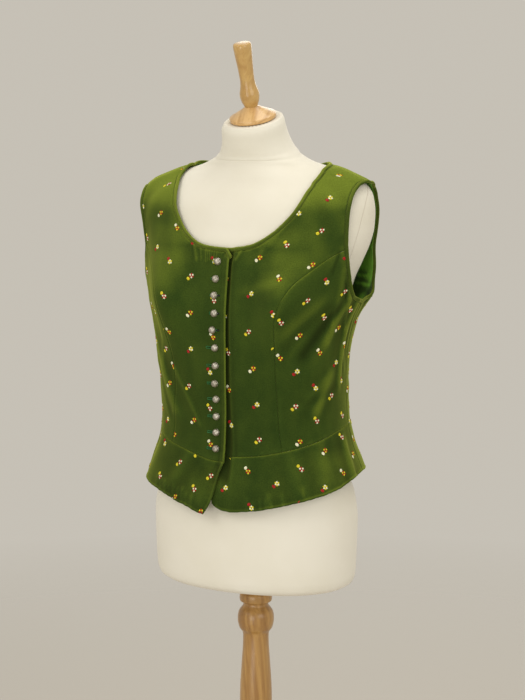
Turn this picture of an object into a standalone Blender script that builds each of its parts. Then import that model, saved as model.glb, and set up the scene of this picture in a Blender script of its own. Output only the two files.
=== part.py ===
"""Embroidered velvet waistcoat on a limbless dress form with a turned wooden stand.

Metres, +Z up. The form faces -Y and the wearer's left is +X. The origin lies on the
floor under the pole. A place on the body is given by an angle round it in degrees
(0 at the centre front, 90 at the wearer's left, 180 at the centre back) and a height.
"""
import math
from collections import namedtuple

import bmesh
import bpy
from mathutils import Matrix, Vector

# Cloth
VELVET = 0.0018             # wall of the velvet with its interlining
LINING = 0.0010             # wall of the satin lining
SEAM_GAP = 0.0004           # space between two pieces that are sewn together
LAYER_GAP = 0.0004          # space between two layers that lie on each other
UNDERLAP_GAP = 0.0010       # space between the left front and the right front over it
PIPING_WIDTH = 0.0050       # rolled edge, across
PIPING_THICK = 0.0036       # rolled edge, through
PIPING_RAISE = 0.0004       # its middle stands this much above the middle of the wall
METRES_PER_DEGREE = 0.0030  # round the body, for lengths on the cloth
FADE = 3.0                  # how fast a piece's end lines lose their bow further in

RIGHT_DRIFT = 3.0           # degrees, at the right bust seam

# Closure
EDGE_X = 0.010              # the right front's edge, past the centre front
UNDERLAP_X = -0.018         # the left front's edge, under the right front
STEP_START_X = 0.0155       # the left front starts to rise beside that edge
STEP_END_X = 0.024          # and has come up to the outer surface here
NECK_STEP_X = 0.012         # the rise is this much longer at the neckline
BUTTON_X = -0.0105
BUTTON_RADIUS = 0.0060
BUTTON_HEIGHT = 0.0046
BUTTON_HEIGHTS = (1.2485, 1.2215, 1.1960, 1.1680, 1.1415, 1.1135,
                  1.0850, 1.0565, 1.0315, 1.0040, 0.9785, 0.9530)
TIP_LIFT = 0.0070           # the right skirt's front corner stands off the left one

# Wood
NECK_TILT = math.radians(18.0)
CAP_RADIUS = 0.0376
CAP_RIM = 0.0070
CAP_RISE = 0.0150
HANDLE_LENGTH = 0.1030
BASE_RADIUS = 0.2150
BASE_HEIGHT = 0.0300
WOOD_GAP = 0.0003

# Level sections. half is across; front and back are measured from the middle, which
# lies behind the pole's axis by its own column; fullness squares (+) or pinches (-)
# the oval; tilt makes a ring rise towards the back.
Section = namedtuple("Section", "z half front back middle fullness tilt")
FORM_SECTIONS = (
    Section(0.7200, 0.1570, 0.1080, 0.1040, 0.000, 0.02, 0.0),
    Section(0.7260, 0.1665, 0.1150, 0.1100, 0.000, 0.02, 0.0),
    Section(0.7400, 0.1715, 0.1190, 0.1130, 0.000, 0.02, 0.0),
    Section(0.7800, 0.1735, 0.1220, 0.1150, 0.000, 0.02, 0.0),
    Section(0.8300, 0.1735, 0.1210, 0.1160, 0.000, 0.02, 0.0),
    Section(0.8700, 0.1660, 0.1160, 0.1160, 0.000, 0.02, 0.0),
    Section(0.9200, 0.1460, 0.1070, 0.1040, 0.000, 0.02, 0.0),
    Section(0.9650, 0.1310, 0.0990, 0.0900, 0.000, 0.02, 0.0),
    Section(1.0100, 0.1330, 0.0980, 0.0880, -0.003, 0.02, 0.0),
    Section(1.0600, 0.1410, 0.1010, 0.0930, -0.005, 0.02, 0.0),
    Section(1.1100, 0.1480, 0.1060, 0.1000, -0.005, 0.03, 0.0),
    Section(1.1500, 0.1520, 0.1100, 0.1040, -0.003, 0.04, 0.0),
    Section(1.1900, 0.1570, 0.1130, 0.1060, 0.003, 0.04, 0.0),
    Section(1.2150, 0.1630, 0.1120, 0.1080, 0.005, 0.04, 0.0),
    Section(1.2450, 0.1770, 0.1110, 0.1080, 0.008, 0.03, 0.0),
    Section(1.2750, 0.1910, 0.1080, 0.1060, 0.010, 0.02, 0.0),
    Section(1.3000, 0.1980, 0.1010, 0.1030, 0.012, 0.01, 0.0),
    Section(1.3300, 0.2010, 0.0910, 0.0950, 0.012, -0.01, 0.0),
    Section(1.3520, 0.1990, 0.0790, 0.0830, 0.012, -0.06, 0.0),
    Section(1.3630, 0.1930, 0.0715, 0.0760, 0.012, -0.10, 0.0),
    Section(1.3720, 0.1840, 0.0670, 0.0710, 0.012, -0.14, 0.0),
    Section(1.3805, 0.1690, 0.0645, 0.0665, 0.012, -0.18, 0.0),
    Section(1.3895, 0.1440, 0.0625, 0.0620, 0.014, -0.20, 0.0),
    Section(1.3955, 0.1200, 0.0625, 0.0590, 0.017, -0.16, 0.0),
    Section(1.4005, 0.1010, 0.0625, 0.0560, 0.018, -0.10, 0.0),
    Section(1.4065, 0.0840, 0.0610, 0.0535, 0.016, -0.06, 0.05),
    Section(1.4155, 0.0690, 0.0575, 0.0515, 0.012, -0.02, 0.12),
    Section(1.4280, 0.0590, 0.0535, 0.0500, 0.005, 0.0, 0.22),
    Section(1.4450, 0.0530, 0.0500, 0.0490, -0.003, 0.0, 0.325),
    Section(1.4620, 0.0505, 0.0485, 0.0485, -0.008, 0.0, 0.325),
    Section(1.4690, 0.0470, 0.0465, 0.0465, -0.008, 0.0, 0.325),
)
CLOTH_SECTIONS = (
    Section(0.8300, 0.2080, 0.1440, 0.1420, 0.004, 0.05, 0.0),
    Section(0.8800, 0.1935, 0.1370, 0.1310, 0.004, 0.05, 0.0),
    Section(0.9200, 0.1790, 0.1270, 0.1200, 0.003, 0.05, 0.0),
    Section(0.9600, 0.1640, 0.1190, 0.1110, 0.002, 0.05, 0.0),
    Section(1.0000, 0.1580, 0.1140, 0.1060, -0.001, 0.05, 0.0),
    Section(1.0500, 0.1585, 0.1080, 0.1090, -0.008, 0.05, 0.0),
    Section(1.1000, 0.1615, 0.1090, 0.1120, -0.009, 0.05, 0.0),
    Section(1.1500, 0.1700, 0.1160, 0.1150, -0.004, 0.05, 0.0),
    Section(1.1900, 0.1850, 0.1210, 0.1150, 0.003, 0.05, 0.0),
    Section(1.2400, 0.1995, 0.1190, 0.1150, 0.008, 0.04, 0.0),
    Section(1.2700, 0.2030, 0.1150, 0.1120, 0.010, 0.03, 0.0),
    Section(1.3000, 0.2095, 0.1040, 0.1100, 0.010, 0.02, 0.0),
    Section(1.3350, 0.2165, 0.0910, 0.1020, 0.008, -0.01, 0.0),
    Section(1.3520, 0.2160, 0.0820, 0.0930, 0.009, -0.05, 0.0),
    Section(1.3640, 0.2115, 0.0755, 0.0835, 0.011, -0.09, 0.0),
    Section(1.3730, 0.2020, 0.0715, 0.0770, 0.012, -0.13, 0.0),
    Section(1.3836, 0.1750, 0.0685, 0.0725, 0.012, -0.18, 0.0),
    Section(1.3934, 0.1475, 0.0665, 0.0680, 0.014, -0.20, 0.0),
    Section(1.3999, 0.1235, 0.0665, 0.0650, 0.017, -0.16, 0.0),
    Section(1.4054, 0.1045, 0.0665, 0.0620, 0.018, -0.10, 0.0),
    Section(1.4150, 0.0850, 0.0640, 0.0570, 0.016, -0.06, 0.0),
)

# The bust, on each side, swells forward; the largest folds stand out of the velvet.
Swell = namedtuple("Swell", "angle z forward angle_spread z_spread")
FORM_BUST = (Swell(34.0, 1.175, 0.0210, 13.0, 0.055), Swell(-34.0, 1.175, 0.0210, 13.0, 0.055))
CLOTH_BUST = (Swell(34.0, 1.185, 0.0270, 13.0, 0.062), Swell(-34.0, 1.185, 0.0270, 13.0, 0.062))
Fold = namedtuple("Fold", "angle_a z_a angle_b z_b height width")
FOLDS = (
    Fold(86.0, 1.180, 84.0, 1.060, 0.0030, 0.0090),
    Fold(74.0, 1.190, 66.0, 1.130, 0.0025, 0.0090),
    Fold(66.0, 1.170, 50.0, 1.110, -0.0022, 0.0120),
    Fold(72.0, 1.070, 60.0, 1.020, 0.0022, 0.0110),
    Fold(-66.0, 1.170, -34.0, 1.010, 0.0030, 0.0120),
    Fold(-76.0, 1.190, -58.0, 1.080, 0.0026, 0.0100),
    Fold(-84.0, 1.150, -80.0, 1.040, 0.0024, 0.0100),
    Fold(84.0, 0.965, 84.0, 0.905, 0.0050, 0.0130),
    Fold(-84.0, 0.965, -86.0, 0.905, 0.0040, 0.0130),
    Fold(118.0, 1.170, 128.0, 1.040, 0.0028, 0.0110),
    Fold(-118.0, 1.160, -130.0, 1.050, 0.0026, 0.0110),
    Fold(150.0, 0.960, 152.0, 0.905, 0.0035, 0.0140),
    Fold(-148.0, 0.960, -150.0, 0.905, 0.0035, 0.0140),
)

# Lines of the cut on the wearer's left half as (angle, z), mirrored for the right half.
# The front lines start beside the strip at the centre front.
NECKLINE = ((14.5, 1.2735), (20.0, 1.2850), (25.0, 1.3010), (30.0, 1.3230), (34.5, 1.3460),
            (41.0, 1.3670), (50.0, 1.3790), (60.0, 1.3885), (70.0, 1.3948), (82.0, 1.3982),
            (96.0, 1.4000))
BACK_NECKLINE = ((96.0, 1.4000), (108.0, 1.3986), (125.0, 1.3945), (150.0, 1.3850), (180.0, 1.3790))
SHOULDER = ((96.0, 1.4000), (96.0, 1.3750))
ARMHOLE_FRONT = ((61.5, 1.2690), (60.0, 1.2970), (59.5, 1.3250), (63.5, 1.3460), (73.0, 1.3670),
                 (84.0, 1.3735), (96.0, 1.3750))
ARMHOLE_UNDER = ((61.5, 1.2690), (64.8, 1.2380), (70.5, 1.2120), (79.0, 1.1920), (97.0, 1.1820))
ARMHOLE_BACK = ((97.0, 1.1820), (110.0, 1.1900), (117.0, 1.2150), (118.0, 1.2500),
                (117.5, 1.2900), (117.0, 1.3250), (115.0, 1.3500), (109.0, 1.3680), (96.0, 1.3750))
BUST_SEAM = ((35.0, 0.9535), (34.0, 1.0095), (33.2, 1.0480), (32.6, 1.0860), (33.0, 1.1250),
             (33.5, 1.1700), (35.0, 1.1950), (38.0, 1.2180), (43.5, 1.2370), (51.5, 1.2560),
             (61.5, 1.2690))
SIDE_SEAM = ((100.0, 0.9850), (99.0, 1.0600), (97.5, 1.1300), (97.0, 1.1820))
CENTRE_BACK = ((180.0, 0.9880), (180.0, 1.3790))
WAIST_FRONT = ((22.0, 0.9465), (35.0, 0.9535))
WAIST_SIDE = ((35.0, 0.9535), (50.0, 0.9625), (65.0, 0.9720), (80.0, 0.9800), (100.0, 0.9850))
WAIST_BACK = ((100.0, 0.9850), (140.0, 0.9880), (180.0, 0.9880))
HEM_FRONT = ((22.0, 0.8635), (36.0, 0.8738), (50.0, 0.8835), (66.0, 0.8940), (82.0, 0.9050),
             (100.0, 0.9105))
HEM_BACK = ((100.0, 0.9105), (140.0, 0.9060), (180.0, 0.9020))
SKIRT_SIDE = ((100.0, 0.9105), (100.0, 0.9850))
SKIRT_BACK = ((180.0, 0.9020), (180.0, 0.9880))
# The skirt's front edges, from the hem up, and the start of each hem; the right one
# swings over the centre front into a pointed corner, the left one has a round corner.
RIGHT_SKIRT_EDGE = ((4.9, 0.8500), (1.5, 0.8745), (-0.3, 0.9130), (-2.0, 0.9330), (-3.5, 0.9420))
RIGHT_HEM = ((4.9, 0.8500), (9.0, 0.8530), (15.0, 0.8590))
LEFT_SKIRT_EDGE = ((-2.2, 0.8680), (-3.2, 0.8850), (-5.5, 0.9180), (-6.4, 0.9420))
LEFT_HEM = ((-2.2, 0.8680), (1.0, 0.8610), (6.0, 0.8572), (13.0, 0.8590))
WAIST_START = ((4.0, 0.9421), (12.8, 0.9438))


class Curve:
    """Smooth curve through the rows of a table; it never swings past a row."""

    def __init__(self, rows):
        self.keys = [row[0] for row in rows]
        self.values = [tuple(row[1:]) for row in rows]
        last = len(rows) - 1
        steps = [self.keys[i + 1] - self.keys[i] for i in range(last)]
        rates = [[(b - a) / step for a, b in zip(self.values[i], self.values[i + 1])]
                 for i, step in enumerate(steps)]
        self.slopes = [list(rates[0])]
        for i in range(1, last):
            near, far = 2 * steps[i] + steps[i - 1], steps[i] + 2 * steps[i - 1]
            self.slopes.append([(near + far) / (near / a + far / b) if a * b > 0 else 0.0
                                for a, b in zip(rates[i - 1], rates[i])])
        self.slopes.append(list(rates[-1]))

    def at(self, key):
        key = min(max(key, self.keys[0]), self.keys[-1])
        i = 0
        while i < len(self.keys) - 2 and key > self.keys[i + 1]:
            i += 1
        step = self.keys[i + 1] - self.keys[i]
        t = (key - self.keys[i]) / step
        start, end = (1 + 2 * t) * (1 - t) ** 2, t * t * (3 - 2 * t)
        leave, arrive = step * t * (1 - t) ** 2, step * t * t * (t - 1)
        return [start * a + end * b + leave * c + arrive * d for a, b, c, d in
                zip(self.values[i], self.values[i + 1], self.slopes[i], self.slopes[i + 1])]


class Body:
    """A round surface through level sections, with swells and folds raised on it."""

    def __init__(self, sections, swells=(), folds=()):
        self.curve = Curve(sections)
        self.swells = swells
        self.folds = folds

    def plain(self, angle, z):
        half, front, back, middle, fullness, tilt = self.curve.at(z)
        turn = math.radians(angle)
        full = 1 + fullness * math.sin(2 * turn) ** 2
        depth = front if math.cos(turn) > 0 else back
        forward = depth * math.cos(turn) * full
        spot = Vector((half * math.sin(turn) * full, middle - forward, z - tilt * forward))
        for swell in self.swells:
            away = ((angle - swell.angle) / swell.angle_spread) ** 2
            away += ((z - swell.z) / swell.z_spread) ** 2
            spot.y -= swell.forward * math.exp(-away)
        return spot

    def facing(self, place, angle, z):
        across = place(angle + 0.5, z) - place(angle - 0.5, z)
        upward = place(angle, z + 0.001) - place(angle, z - 0.001)
        return across.cross(upward).normalized()

    def place(self, angle, z):
        spot = self.plain(angle, z)
        height = sum(fold_height(fold, angle, z) for fold in self.folds)
        if height:
            spot += self.facing(self.plain, angle, z) * height
        return spot

    def point(self, angle, z, out=0.0):
        return self.place(angle, z) + self.facing(self.place, angle, z) * out


def fold_height(fold, angle, z):
    """Height of one long soft fold, which dies away at both ends."""
    angle = (angle + 180.0) % 360.0 - 180.0
    start = Vector((fold.angle_a * METRES_PER_DEGREE, fold.z_a))
    along = Vector((fold.angle_b * METRES_PER_DEGREE, fold.z_b)) - start
    here = Vector((angle * METRES_PER_DEGREE, z)) - start
    share = here.dot(along) / along.length_squared
    beyond = max(0.0, -share, share - 1) * along.length
    aside = abs(here.x * along.y - here.y * along.x) / along.length
    swell = math.exp(-(aside / fold.width) ** 2 - (beyond / (1.5 * fold.width)) ** 2)
    return fold.height * swell if swell > 1e-4 else 0.0


FORM = Body(FORM_SECTIONS, FORM_BUST)
CLOTH = Body(CLOTH_SECTIONS, CLOTH_BUST, FOLDS)


def smooth_step(value, start, end):
    t = min(max((value - start) / (end - start), 0.0), 1.0)
    return t * t * (3 - 2 * t)


def route(rows, cells, crowd=1.0):
    """Evenly spaced stations along a smooth line through a table's (angle, z) rows."""
    knots = [Vector((angle * METRES_PER_DEGREE, z)) for angle, z in rows]
    fine = [knots[0]]
    for i in range(len(knots) - 1):
        before = knots[max(i - 1, 0)]
        after = knots[min(i + 2, len(knots) - 1)]
        for step in range(1, 13):
            t = step / 12
            fine.append(0.5 * (2 * knots[i] + (knots[i + 1] - before) * t
                               + (2 * before - 5 * knots[i] + 4 * knots[i + 1] - after) * t ** 2
                               + (3 * knots[i] - before - 3 * knots[i + 1] + after) * t ** 3))
    lengths = [0.0]
    for a, b in zip(fine, fine[1:]):
        lengths.append(lengths[-1] + (b - a).length)
    stations = []
    for cell in range(cells + 1):
        want = lengths[-1] * (cell / cells) ** crowd
        i = max(k for k in range(len(lengths) - 1) if lengths[k] <= want + 1e-12)
        t = (want - lengths[i]) / (lengths[i + 1] - lengths[i])
        spot = fine[i].lerp(fine[i + 1], min(t, 1.0))
        stations.append((spot.x / METRES_PER_DEGREE, spot.y))
    return stations


def join(*lines):
    """One line out of several that follow each other."""
    joined = list(lines[0])
    for line in lines[1:]:
        joined += line[1:]
    return joined


def mirror(line):
    """The line on the wearer's right, where the fastened front is drawn a little aside."""
    drawn = []
    for angle, z in line:
        window = smooth_step(angle, 14.0, 34.0) * (1 - smooth_step(angle, 44.0, 76.0))
        drawn.append((-angle - RIGHT_DRIFT * window * math.exp(-((z - 1.15) / 0.07) ** 2), z))
    return drawn


def shares(line):
    lengths = [0.0]
    for (a, p), (b, q) in zip(line, line[1:]):
        lengths.append(lengths[-1] + math.hypot((b - a) * METRES_PER_DEGREE, q - p))
    return [length / lengths[-1] for length in lengths]


def bow(line, i, u, k):
    """How far a line's station stands off the straight chord between the line's ends."""
    return line[i][k] - (1 - u) * line[0][k] - u * line[-1][k]


def patch(left, right, bottom, top):
    """Grid of (angle, z) that fills four border lines; rows run from left to right."""
    across = [(a + b) / 2 for a, b in zip(shares(bottom), shares(top))]
    upward = [(a + b) / 2 for a, b in zip(shares(left), shares(right))]
    rows = [list(bottom)]
    for j, v in list(enumerate(upward))[1:-1]:
        row = [left[j]]
        for i, u in list(enumerate(across))[1:-1]:
            row.append(tuple((1 - u) * left[j][k] + u * right[j][k]
                             + (1 - v) ** FADE * bow(bottom, i, u, k)
                             + v ** FADE * bow(top, i, u, k) for k in (0, 1)))
        rows.append(row + [right[j]])
    return rows + [list(top)]


def material(name, colour, roughness, metallic=0.0):
    made = bpy.data.materials.new(name)
    made.use_nodes = True
    shader = made.node_tree.nodes["Principled BSDF"]
    shader.inputs["Base Color"].default_value = (*colour, 1.0)
    shader.inputs["Roughness"].default_value = roughness
    shader.inputs["Metallic"].default_value = metallic
    made.diffuse_color = (*colour, 1.0)
    return made


def add_object(name, shell, finish, smooth_angle=40.0):
    """Turn a bmesh into a named object of one material, shaded smooth but for its edges."""
    bmesh.ops.recalc_face_normals(shell, faces=shell.faces)
    mesh = bpy.data.meshes.new(name)
    shell.to_mesh(mesh)
    shell.free()
    mesh.materials.append(finish)
    mesh.shade_smooth()
    mesh.set_sharp_from_angle(angle=math.radians(smooth_angle))
    made = bpy.data.objects.new(name, mesh)
    bpy.context.collection.objects.link(made)
    return made


def border_of(faces):
    """Directed border edges of a set of faces, as a chain from vertex to vertex."""
    used = {(a, b) for face in faces for a, b in zip(face, face[1:] + face[:1])}
    return {a: b for a, b in used if (b, a) not in used}


def wall(name, grids, thickness, finish, out=0.0, lift=None, inset=SEAM_GAP / 2):
    """Cloth piece: an outer and an inner skin over grids that share their edges.

    The border is drawn in by the inset and closed with a rim. Returns, for each
    (angle, z) of the grids, the outer point, the direction out of the cloth and the
    direction into the piece along it.
    """
    index, places, faces = {}, [], []
    for grid in grids:
        for row in grid:
            for angle, z in row:
                if place_key(angle, z) not in index:
                    index[place_key(angle, z)] = len(places)
                    places.append((angle, z))
        ids = [[index[place_key(*place)] for place in row] for row in grid]
        for low, high in zip(ids, ids[1:]):
            faces += [(low[i], low[i + 1], high[i + 1], high[i]) for i in range(len(low) - 1)]
    if lift is None:
        points = [CLOTH.point(angle, z, out) for angle, z in places]
    else:
        points = [CLOTH.point(angle, z, out + lift(angle, z)) for angle, z in places]
    facing = [CLOTH.facing(CLOTH.place, angle, z) for angle, z in places]
    follows = border_of(faces)
    turned = (points[faces[0][1]] - points[faces[0][0]]).cross(
        points[faces[0][3]] - points[faces[0][0]]).dot(facing[faces[0][0]]) < 0
    leads = {b: a for a, b in follows.items()}
    inward = {}
    for here in follows:
        sides = []
        for a, b in ((leads[here], here), (here, follows[here])):
            side = facing[here].cross(points[b] - points[a]).normalized()
            sides.append(-side if turned else side)
        inward[here] = (sides[0] + sides[1]) / (1 + sides[0].dot(sides[1]))
    shell = bmesh.new()
    outer = [shell.verts.new(points[i] + inward.get(i, Vector()) * inset)
             for i in range(len(points))]
    inner = [shell.verts.new(outer[i].co - facing[i] * thickness) for i in range(len(points))]
    for face in faces:
        if (points[face[0]] - points[face[2]]).length > (points[face[1]] - points[face[3]]).length:
            face = face[1:] + face[:1]
        for skin in (outer, inner):
            shell.faces.new([skin[i] for i in face[:3]])
            shell.faces.new([skin[i] for i in (face[0], face[2], face[3])])
    for a, b in follows.items():
        shell.faces.new((outer[a], outer[b], inner[b], inner[a]))
    edge = {key: (outer[i].co.copy(), facing[i], inward[i])
            for key, i in index.items() if i in inward}
    add_object(name, shell, finish)
    return edge


def place_key(angle, z):
    return round(angle, 3), round(z, 5)


def piping(name, stations, finish):
    """Rolled edge: an oval cord just past a border, made from the border's own points."""
    shell = bmesh.new()
    rings = []
    last = len(stations) - 1
    for i, (spot, facing, inward) in enumerate(stations):
        along = stations[min(i + 1, last)][0] - stations[max(i - 1, 0)][0]
        outward = facing.cross(along).normalized()
        if outward.dot(inward) > 0:
            outward = -outward
        centre = spot + outward * (SEAM_GAP + PIPING_WIDTH / 2)
        centre -= facing * (VELVET / 2 - PIPING_RAISE)
        ring = []
        for corner in range(8):
            turn = math.tau * (corner + 0.5) / 8
            aside, above = math.cos(turn) * PIPING_WIDTH / 2, math.sin(turn) * PIPING_THICK / 2
            ring.append(shell.verts.new(centre + outward * aside + facing * above))
        rings.append(ring)
    for near, far in zip(rings, rings[1:]):
        for corner in range(8):
            after = (corner + 1) % 8
            shell.faces.new((near[corner], near[after], far[after], far[corner]))
    shell.faces.new(rings[0])
    shell.faces.new(rings[-1])
    add_object(name, shell, finish)


def turned(name, profile, sides, finish, place=Matrix(), sharp=35.0):
    """Solid of revolution from (radius, height) rows, bottom to top."""
    shell = bmesh.new()
    rings = []
    for radius, height in profile:
        if radius == 0.0:
            rings.append([shell.verts.new(place @ Vector((0, 0, height)))])
            continue
        rings.append([shell.verts.new(place @ Vector((radius * math.cos(math.tau * k / sides),
                                                      radius * math.sin(math.tau * k / sides),
                                                      height))) for k in range(sides)])
    for low, high in zip(rings, rings[1:]):
        for k in range(sides):
            after = (k + 1) % sides
            corners = [low[k % len(low)], low[after % len(low)],
                       high[after % len(high)], high[k % len(high)]]
            shell.faces.new(list(dict.fromkeys(corners)))
    for ring in (rings[0], rings[-1]):
        if len(ring) > 1:
            shell.faces.new(ring)
    return add_object(name, shell, finish, sharp)


def strip_angle(x, z):
    """Angle of the place that lies x beside the centre front."""
    return math.degrees(math.asin(x / CLOTH.curve.at(z)[0]))


def strip(columns, low, high, rows):
    """Grid beside the centre front, between two lines given as heights over x."""
    grid = []
    for row in range(rows + 1):
        line = []
        for x in columns:
            z = low(x) + (high(x) - low(x)) * row / rows
            line.append((strip_angle(x, z), z))
        grid.append(line)
    return grid


for old in list(bpy.data.objects):
    bpy.data.objects.remove(old, do_unlink=True)

VELVET_GREEN = material("velvet", (0.06, 0.12, 0.02), 0.85)
EDGE_GREEN = material("velvet_edge", (0.10, 0.18, 0.03), 0.80)
SATIN_GREEN = material("lining_satin", (0.03, 0.17, 0.03), 0.40)
JERSEY = material("form_jersey", (0.80, 0.75, 0.64), 0.80)
BEECH = material("beech", (0.68, 0.43, 0.18), 0.35)
METAL = material("button_metal", (0.42, 0.38, 0.34), 0.30, 1.0)


# Dress form: rings up the body and the neck, a flat bottom and a flat tilted neck top.
FORM_SIDES = 36
shell = bmesh.new()
rings = [[shell.verts.new(FORM.point(360.0 * k / FORM_SIDES, row.z)) for k in range(FORM_SIDES)]
         for row in FORM_SECTIONS]
for low, high in zip(rings, rings[1:]):
    for k in range(FORM_SIDES):
        shell.faces.new((low[k], low[(k + 1) % FORM_SIDES], high[(k + 1) % FORM_SIDES], high[k]))
shell.faces.new(rings[0])
shell.faces.new(rings[-1])
add_object("dress_form", shell, JERSEY)


# Front pieces. Beside the centre front the columns keep their distance from it, so
# that the two fronts lie parallel where they overlap.
LOW_ROWS, NECK_ROWS, FRONT_COLUMNS = 18, 12, 7
STRIP_X = 0.036
RIGHT_COLUMNS = (EDGE_X, 0.001, -0.008, UNDERLAP_X, -STRIP_X)
LEFT_COLUMNS = (UNDERLAP_X, -0.008, 0.001, EDGE_X, STEP_START_X, 0.0195, 0.0250, STRIP_X)
NECK_LOW, NECK_RISE = 1.2660, 0.0032
WAIST_LOW, WAIST_RISE = 0.9420, 0.0018
CHAMFER = 0.0120            # the right front's top corner is cut off by this much in height


def neck_height(x):
    return NECK_LOW + NECK_RISE * (x / STRIP_X) ** 2


def right_neck_height(x):
    return neck_height(x) - (CHAMFER if x == EDGE_X else 0.0)


def waist_height(x):
    return WAIST_LOW + WAIST_RISE * (x / STRIP_X) ** 2


def underlap(angle, z):
    """Depth of the left front: it sinks under the right front and rises beside its edge."""
    x = CLOTH.curve.at(z)[0] * math.sin(math.radians(angle))
    end = STEP_END_X + NECK_STEP_X * smooth_step(z, NECK_LOW - 0.05, NECK_LOW)
    return -(VELVET + UNDERLAP_GAP) * (1 - smooth_step(x, STEP_START_X, end))


def front_lines():
    """Border lines of the wearer's left front beyond the strip, and of the side front."""
    low = (strip_angle(STRIP_X, waist_height(STRIP_X)), waist_height(STRIP_X))
    high = (strip_angle(STRIP_X, neck_height(STRIP_X)), neck_height(STRIP_X))
    inner = [line[-1] for line in strip((STRIP_X,), waist_height, neck_height, LOW_ROWS)]
    neck = route((high,) + NECKLINE, NECK_ROWS)
    seam = route(BUST_SEAM, LOW_ROWS)
    arm = route(ARMHOLE_FRONT, NECK_ROWS)
    return (join(inner, neck), join(seam, arm), route((low,) + WAIST_FRONT, FRONT_COLUMNS),
            route(SHOULDER, FRONT_COLUMNS), neck, arm, seam)


NECK_SIDE, SEAM_SIDE, WAIST_SIDE_LINE, SHOULDER_LINE, NECK_LINE, ARM_LINE, SEAM_LINE = front_lines()
FRONT_GRID = patch(NECK_SIDE, SEAM_SIDE, WAIST_SIDE_LINE, SHOULDER_LINE)

RIGHT_FRONT_GRIDS = [strip(RIGHT_COLUMNS, waist_height, right_neck_height, LOW_ROWS),
                     [mirror(row) for row in FRONT_GRID]]
LEFT_FRONT_GRIDS = [strip(LEFT_COLUMNS, waist_height, neck_height, LOW_ROWS), FRONT_GRID]
front_right = wall("front_right", RIGHT_FRONT_GRIDS, VELVET, VELVET_GREEN)
front_left = wall("front_left", LEFT_FRONT_GRIDS, VELVET, VELVET_GREEN, lift=underlap)

SIDE_COLUMNS = 9
UNDER_LINE = route(ARMHOLE_UNDER, SIDE_COLUMNS)
SIDE_GRID = patch(SEAM_LINE, route(SIDE_SEAM, LOW_ROWS), route(WAIST_SIDE, SIDE_COLUMNS), UNDER_LINE)
side_right = wall("side_front_right", [[mirror(row) for row in SIDE_GRID]], VELVET, VELVET_GREEN)
side_left = wall("side_front_left", [SIDE_GRID], VELVET, VELVET_GREEN)


# Back halves, and inside them their lining, cut in one piece with no seam at the centre.
SIDE_ROWS, ARM_ROWS, SHOULDER_COLUMNS, NECK_COLUMNS = 11, 11, 4, 6
BACK_ARM_LINE = route(ARMHOLE_BACK, ARM_ROWS)
BACK_NECK_LINE = route(BACK_NECKLINE, NECK_COLUMNS)
BACK_GRID = patch(join(route(SIDE_SEAM, SIDE_ROWS), BACK_ARM_LINE),
                  route(CENTRE_BACK, SIDE_ROWS + ARM_ROWS),
                  route(WAIST_BACK, SHOULDER_COLUMNS + NECK_COLUMNS),
                  join(route(SHOULDER[::-1], SHOULDER_COLUMNS), BACK_NECK_LINE))
backs = {"left": wall("back_left", [BACK_GRID], VELVET, VELVET_GREEN),
         "right": wall("back_right", [[mirror(row) for row in BACK_GRID]], VELVET, VELVET_GREEN)}
FAR_HALF = [[(360.0 - angle, z) for angle, z in row[::-1]] for row in BACK_GRID]
wall("lining_back", [BACK_GRID, FAR_HALF], LINING, SATIN_GREEN, out=-VELVET - LAYER_GAP,
     inset=2 * SEAM_GAP)


# Skirt pieces below the waist seam.
SKIRT_ROWS, SKIRT_FRONT_COLUMNS, SKIRT_BACK_COLUMNS = 6, 17, 10
SKIRT_CROWD = 1.3           # the columns crowd towards the front edge


def tip_lift(angle, z):
    """The right skirt stands off towards its front corner."""
    x = -CLOTH.curve.at(z)[0] * math.sin(math.radians(angle))
    return TIP_LIFT * (1 - smooth_step(z, 0.850, 0.935)) * (1 - smooth_step(x, 0.022, 0.090))


def skirt_underlap(angle, z):
    """The left skirt sinks under the right one, down to where that one stands off."""
    return underlap(angle, z) * smooth_step(z, 0.885, 0.925)


def skirt_front(edge, hem):
    top = route((edge[-1],) + WAIST_START + WAIST_FRONT[:1] + WAIST_SIDE, SKIRT_FRONT_COLUMNS,
                SKIRT_CROWD)
    return patch(route(edge, SKIRT_ROWS), route(SKIRT_SIDE, SKIRT_ROWS),
                 route(hem + HEM_FRONT, SKIRT_FRONT_COLUMNS, SKIRT_CROWD), top)


wall("peplum_front_right", [[mirror(row) for row in skirt_front(RIGHT_SKIRT_EDGE, RIGHT_HEM)]],
     VELVET, VELVET_GREEN, lift=tip_lift)
wall("peplum_front_left", [skirt_front(LEFT_SKIRT_EDGE, LEFT_HEM)], VELVET, VELVET_GREEN,
     lift=skirt_underlap)
SKIRT_BACK_GRID = patch(route(SKIRT_SIDE, SKIRT_ROWS), route(SKIRT_BACK, SKIRT_ROWS),
                        route(HEM_BACK, SKIRT_BACK_COLUMNS), route(WAIST_BACK, SKIRT_BACK_COLUMNS))
wall("peplum_back_left", [SKIRT_BACK_GRID], VELVET, VELVET_GREEN)
wall("peplum_back_right", [[mirror(row) for row in SKIRT_BACK_GRID]], VELVET, VELVET_GREEN)


# Rolled edges. The neck's runs from the right front's cut corner round the back to the
# left front; each armhole's starts and ends at the side seam.
def pick(edges, line):
    return [edges[place_key(angle, z)] for angle, z in line]


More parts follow.
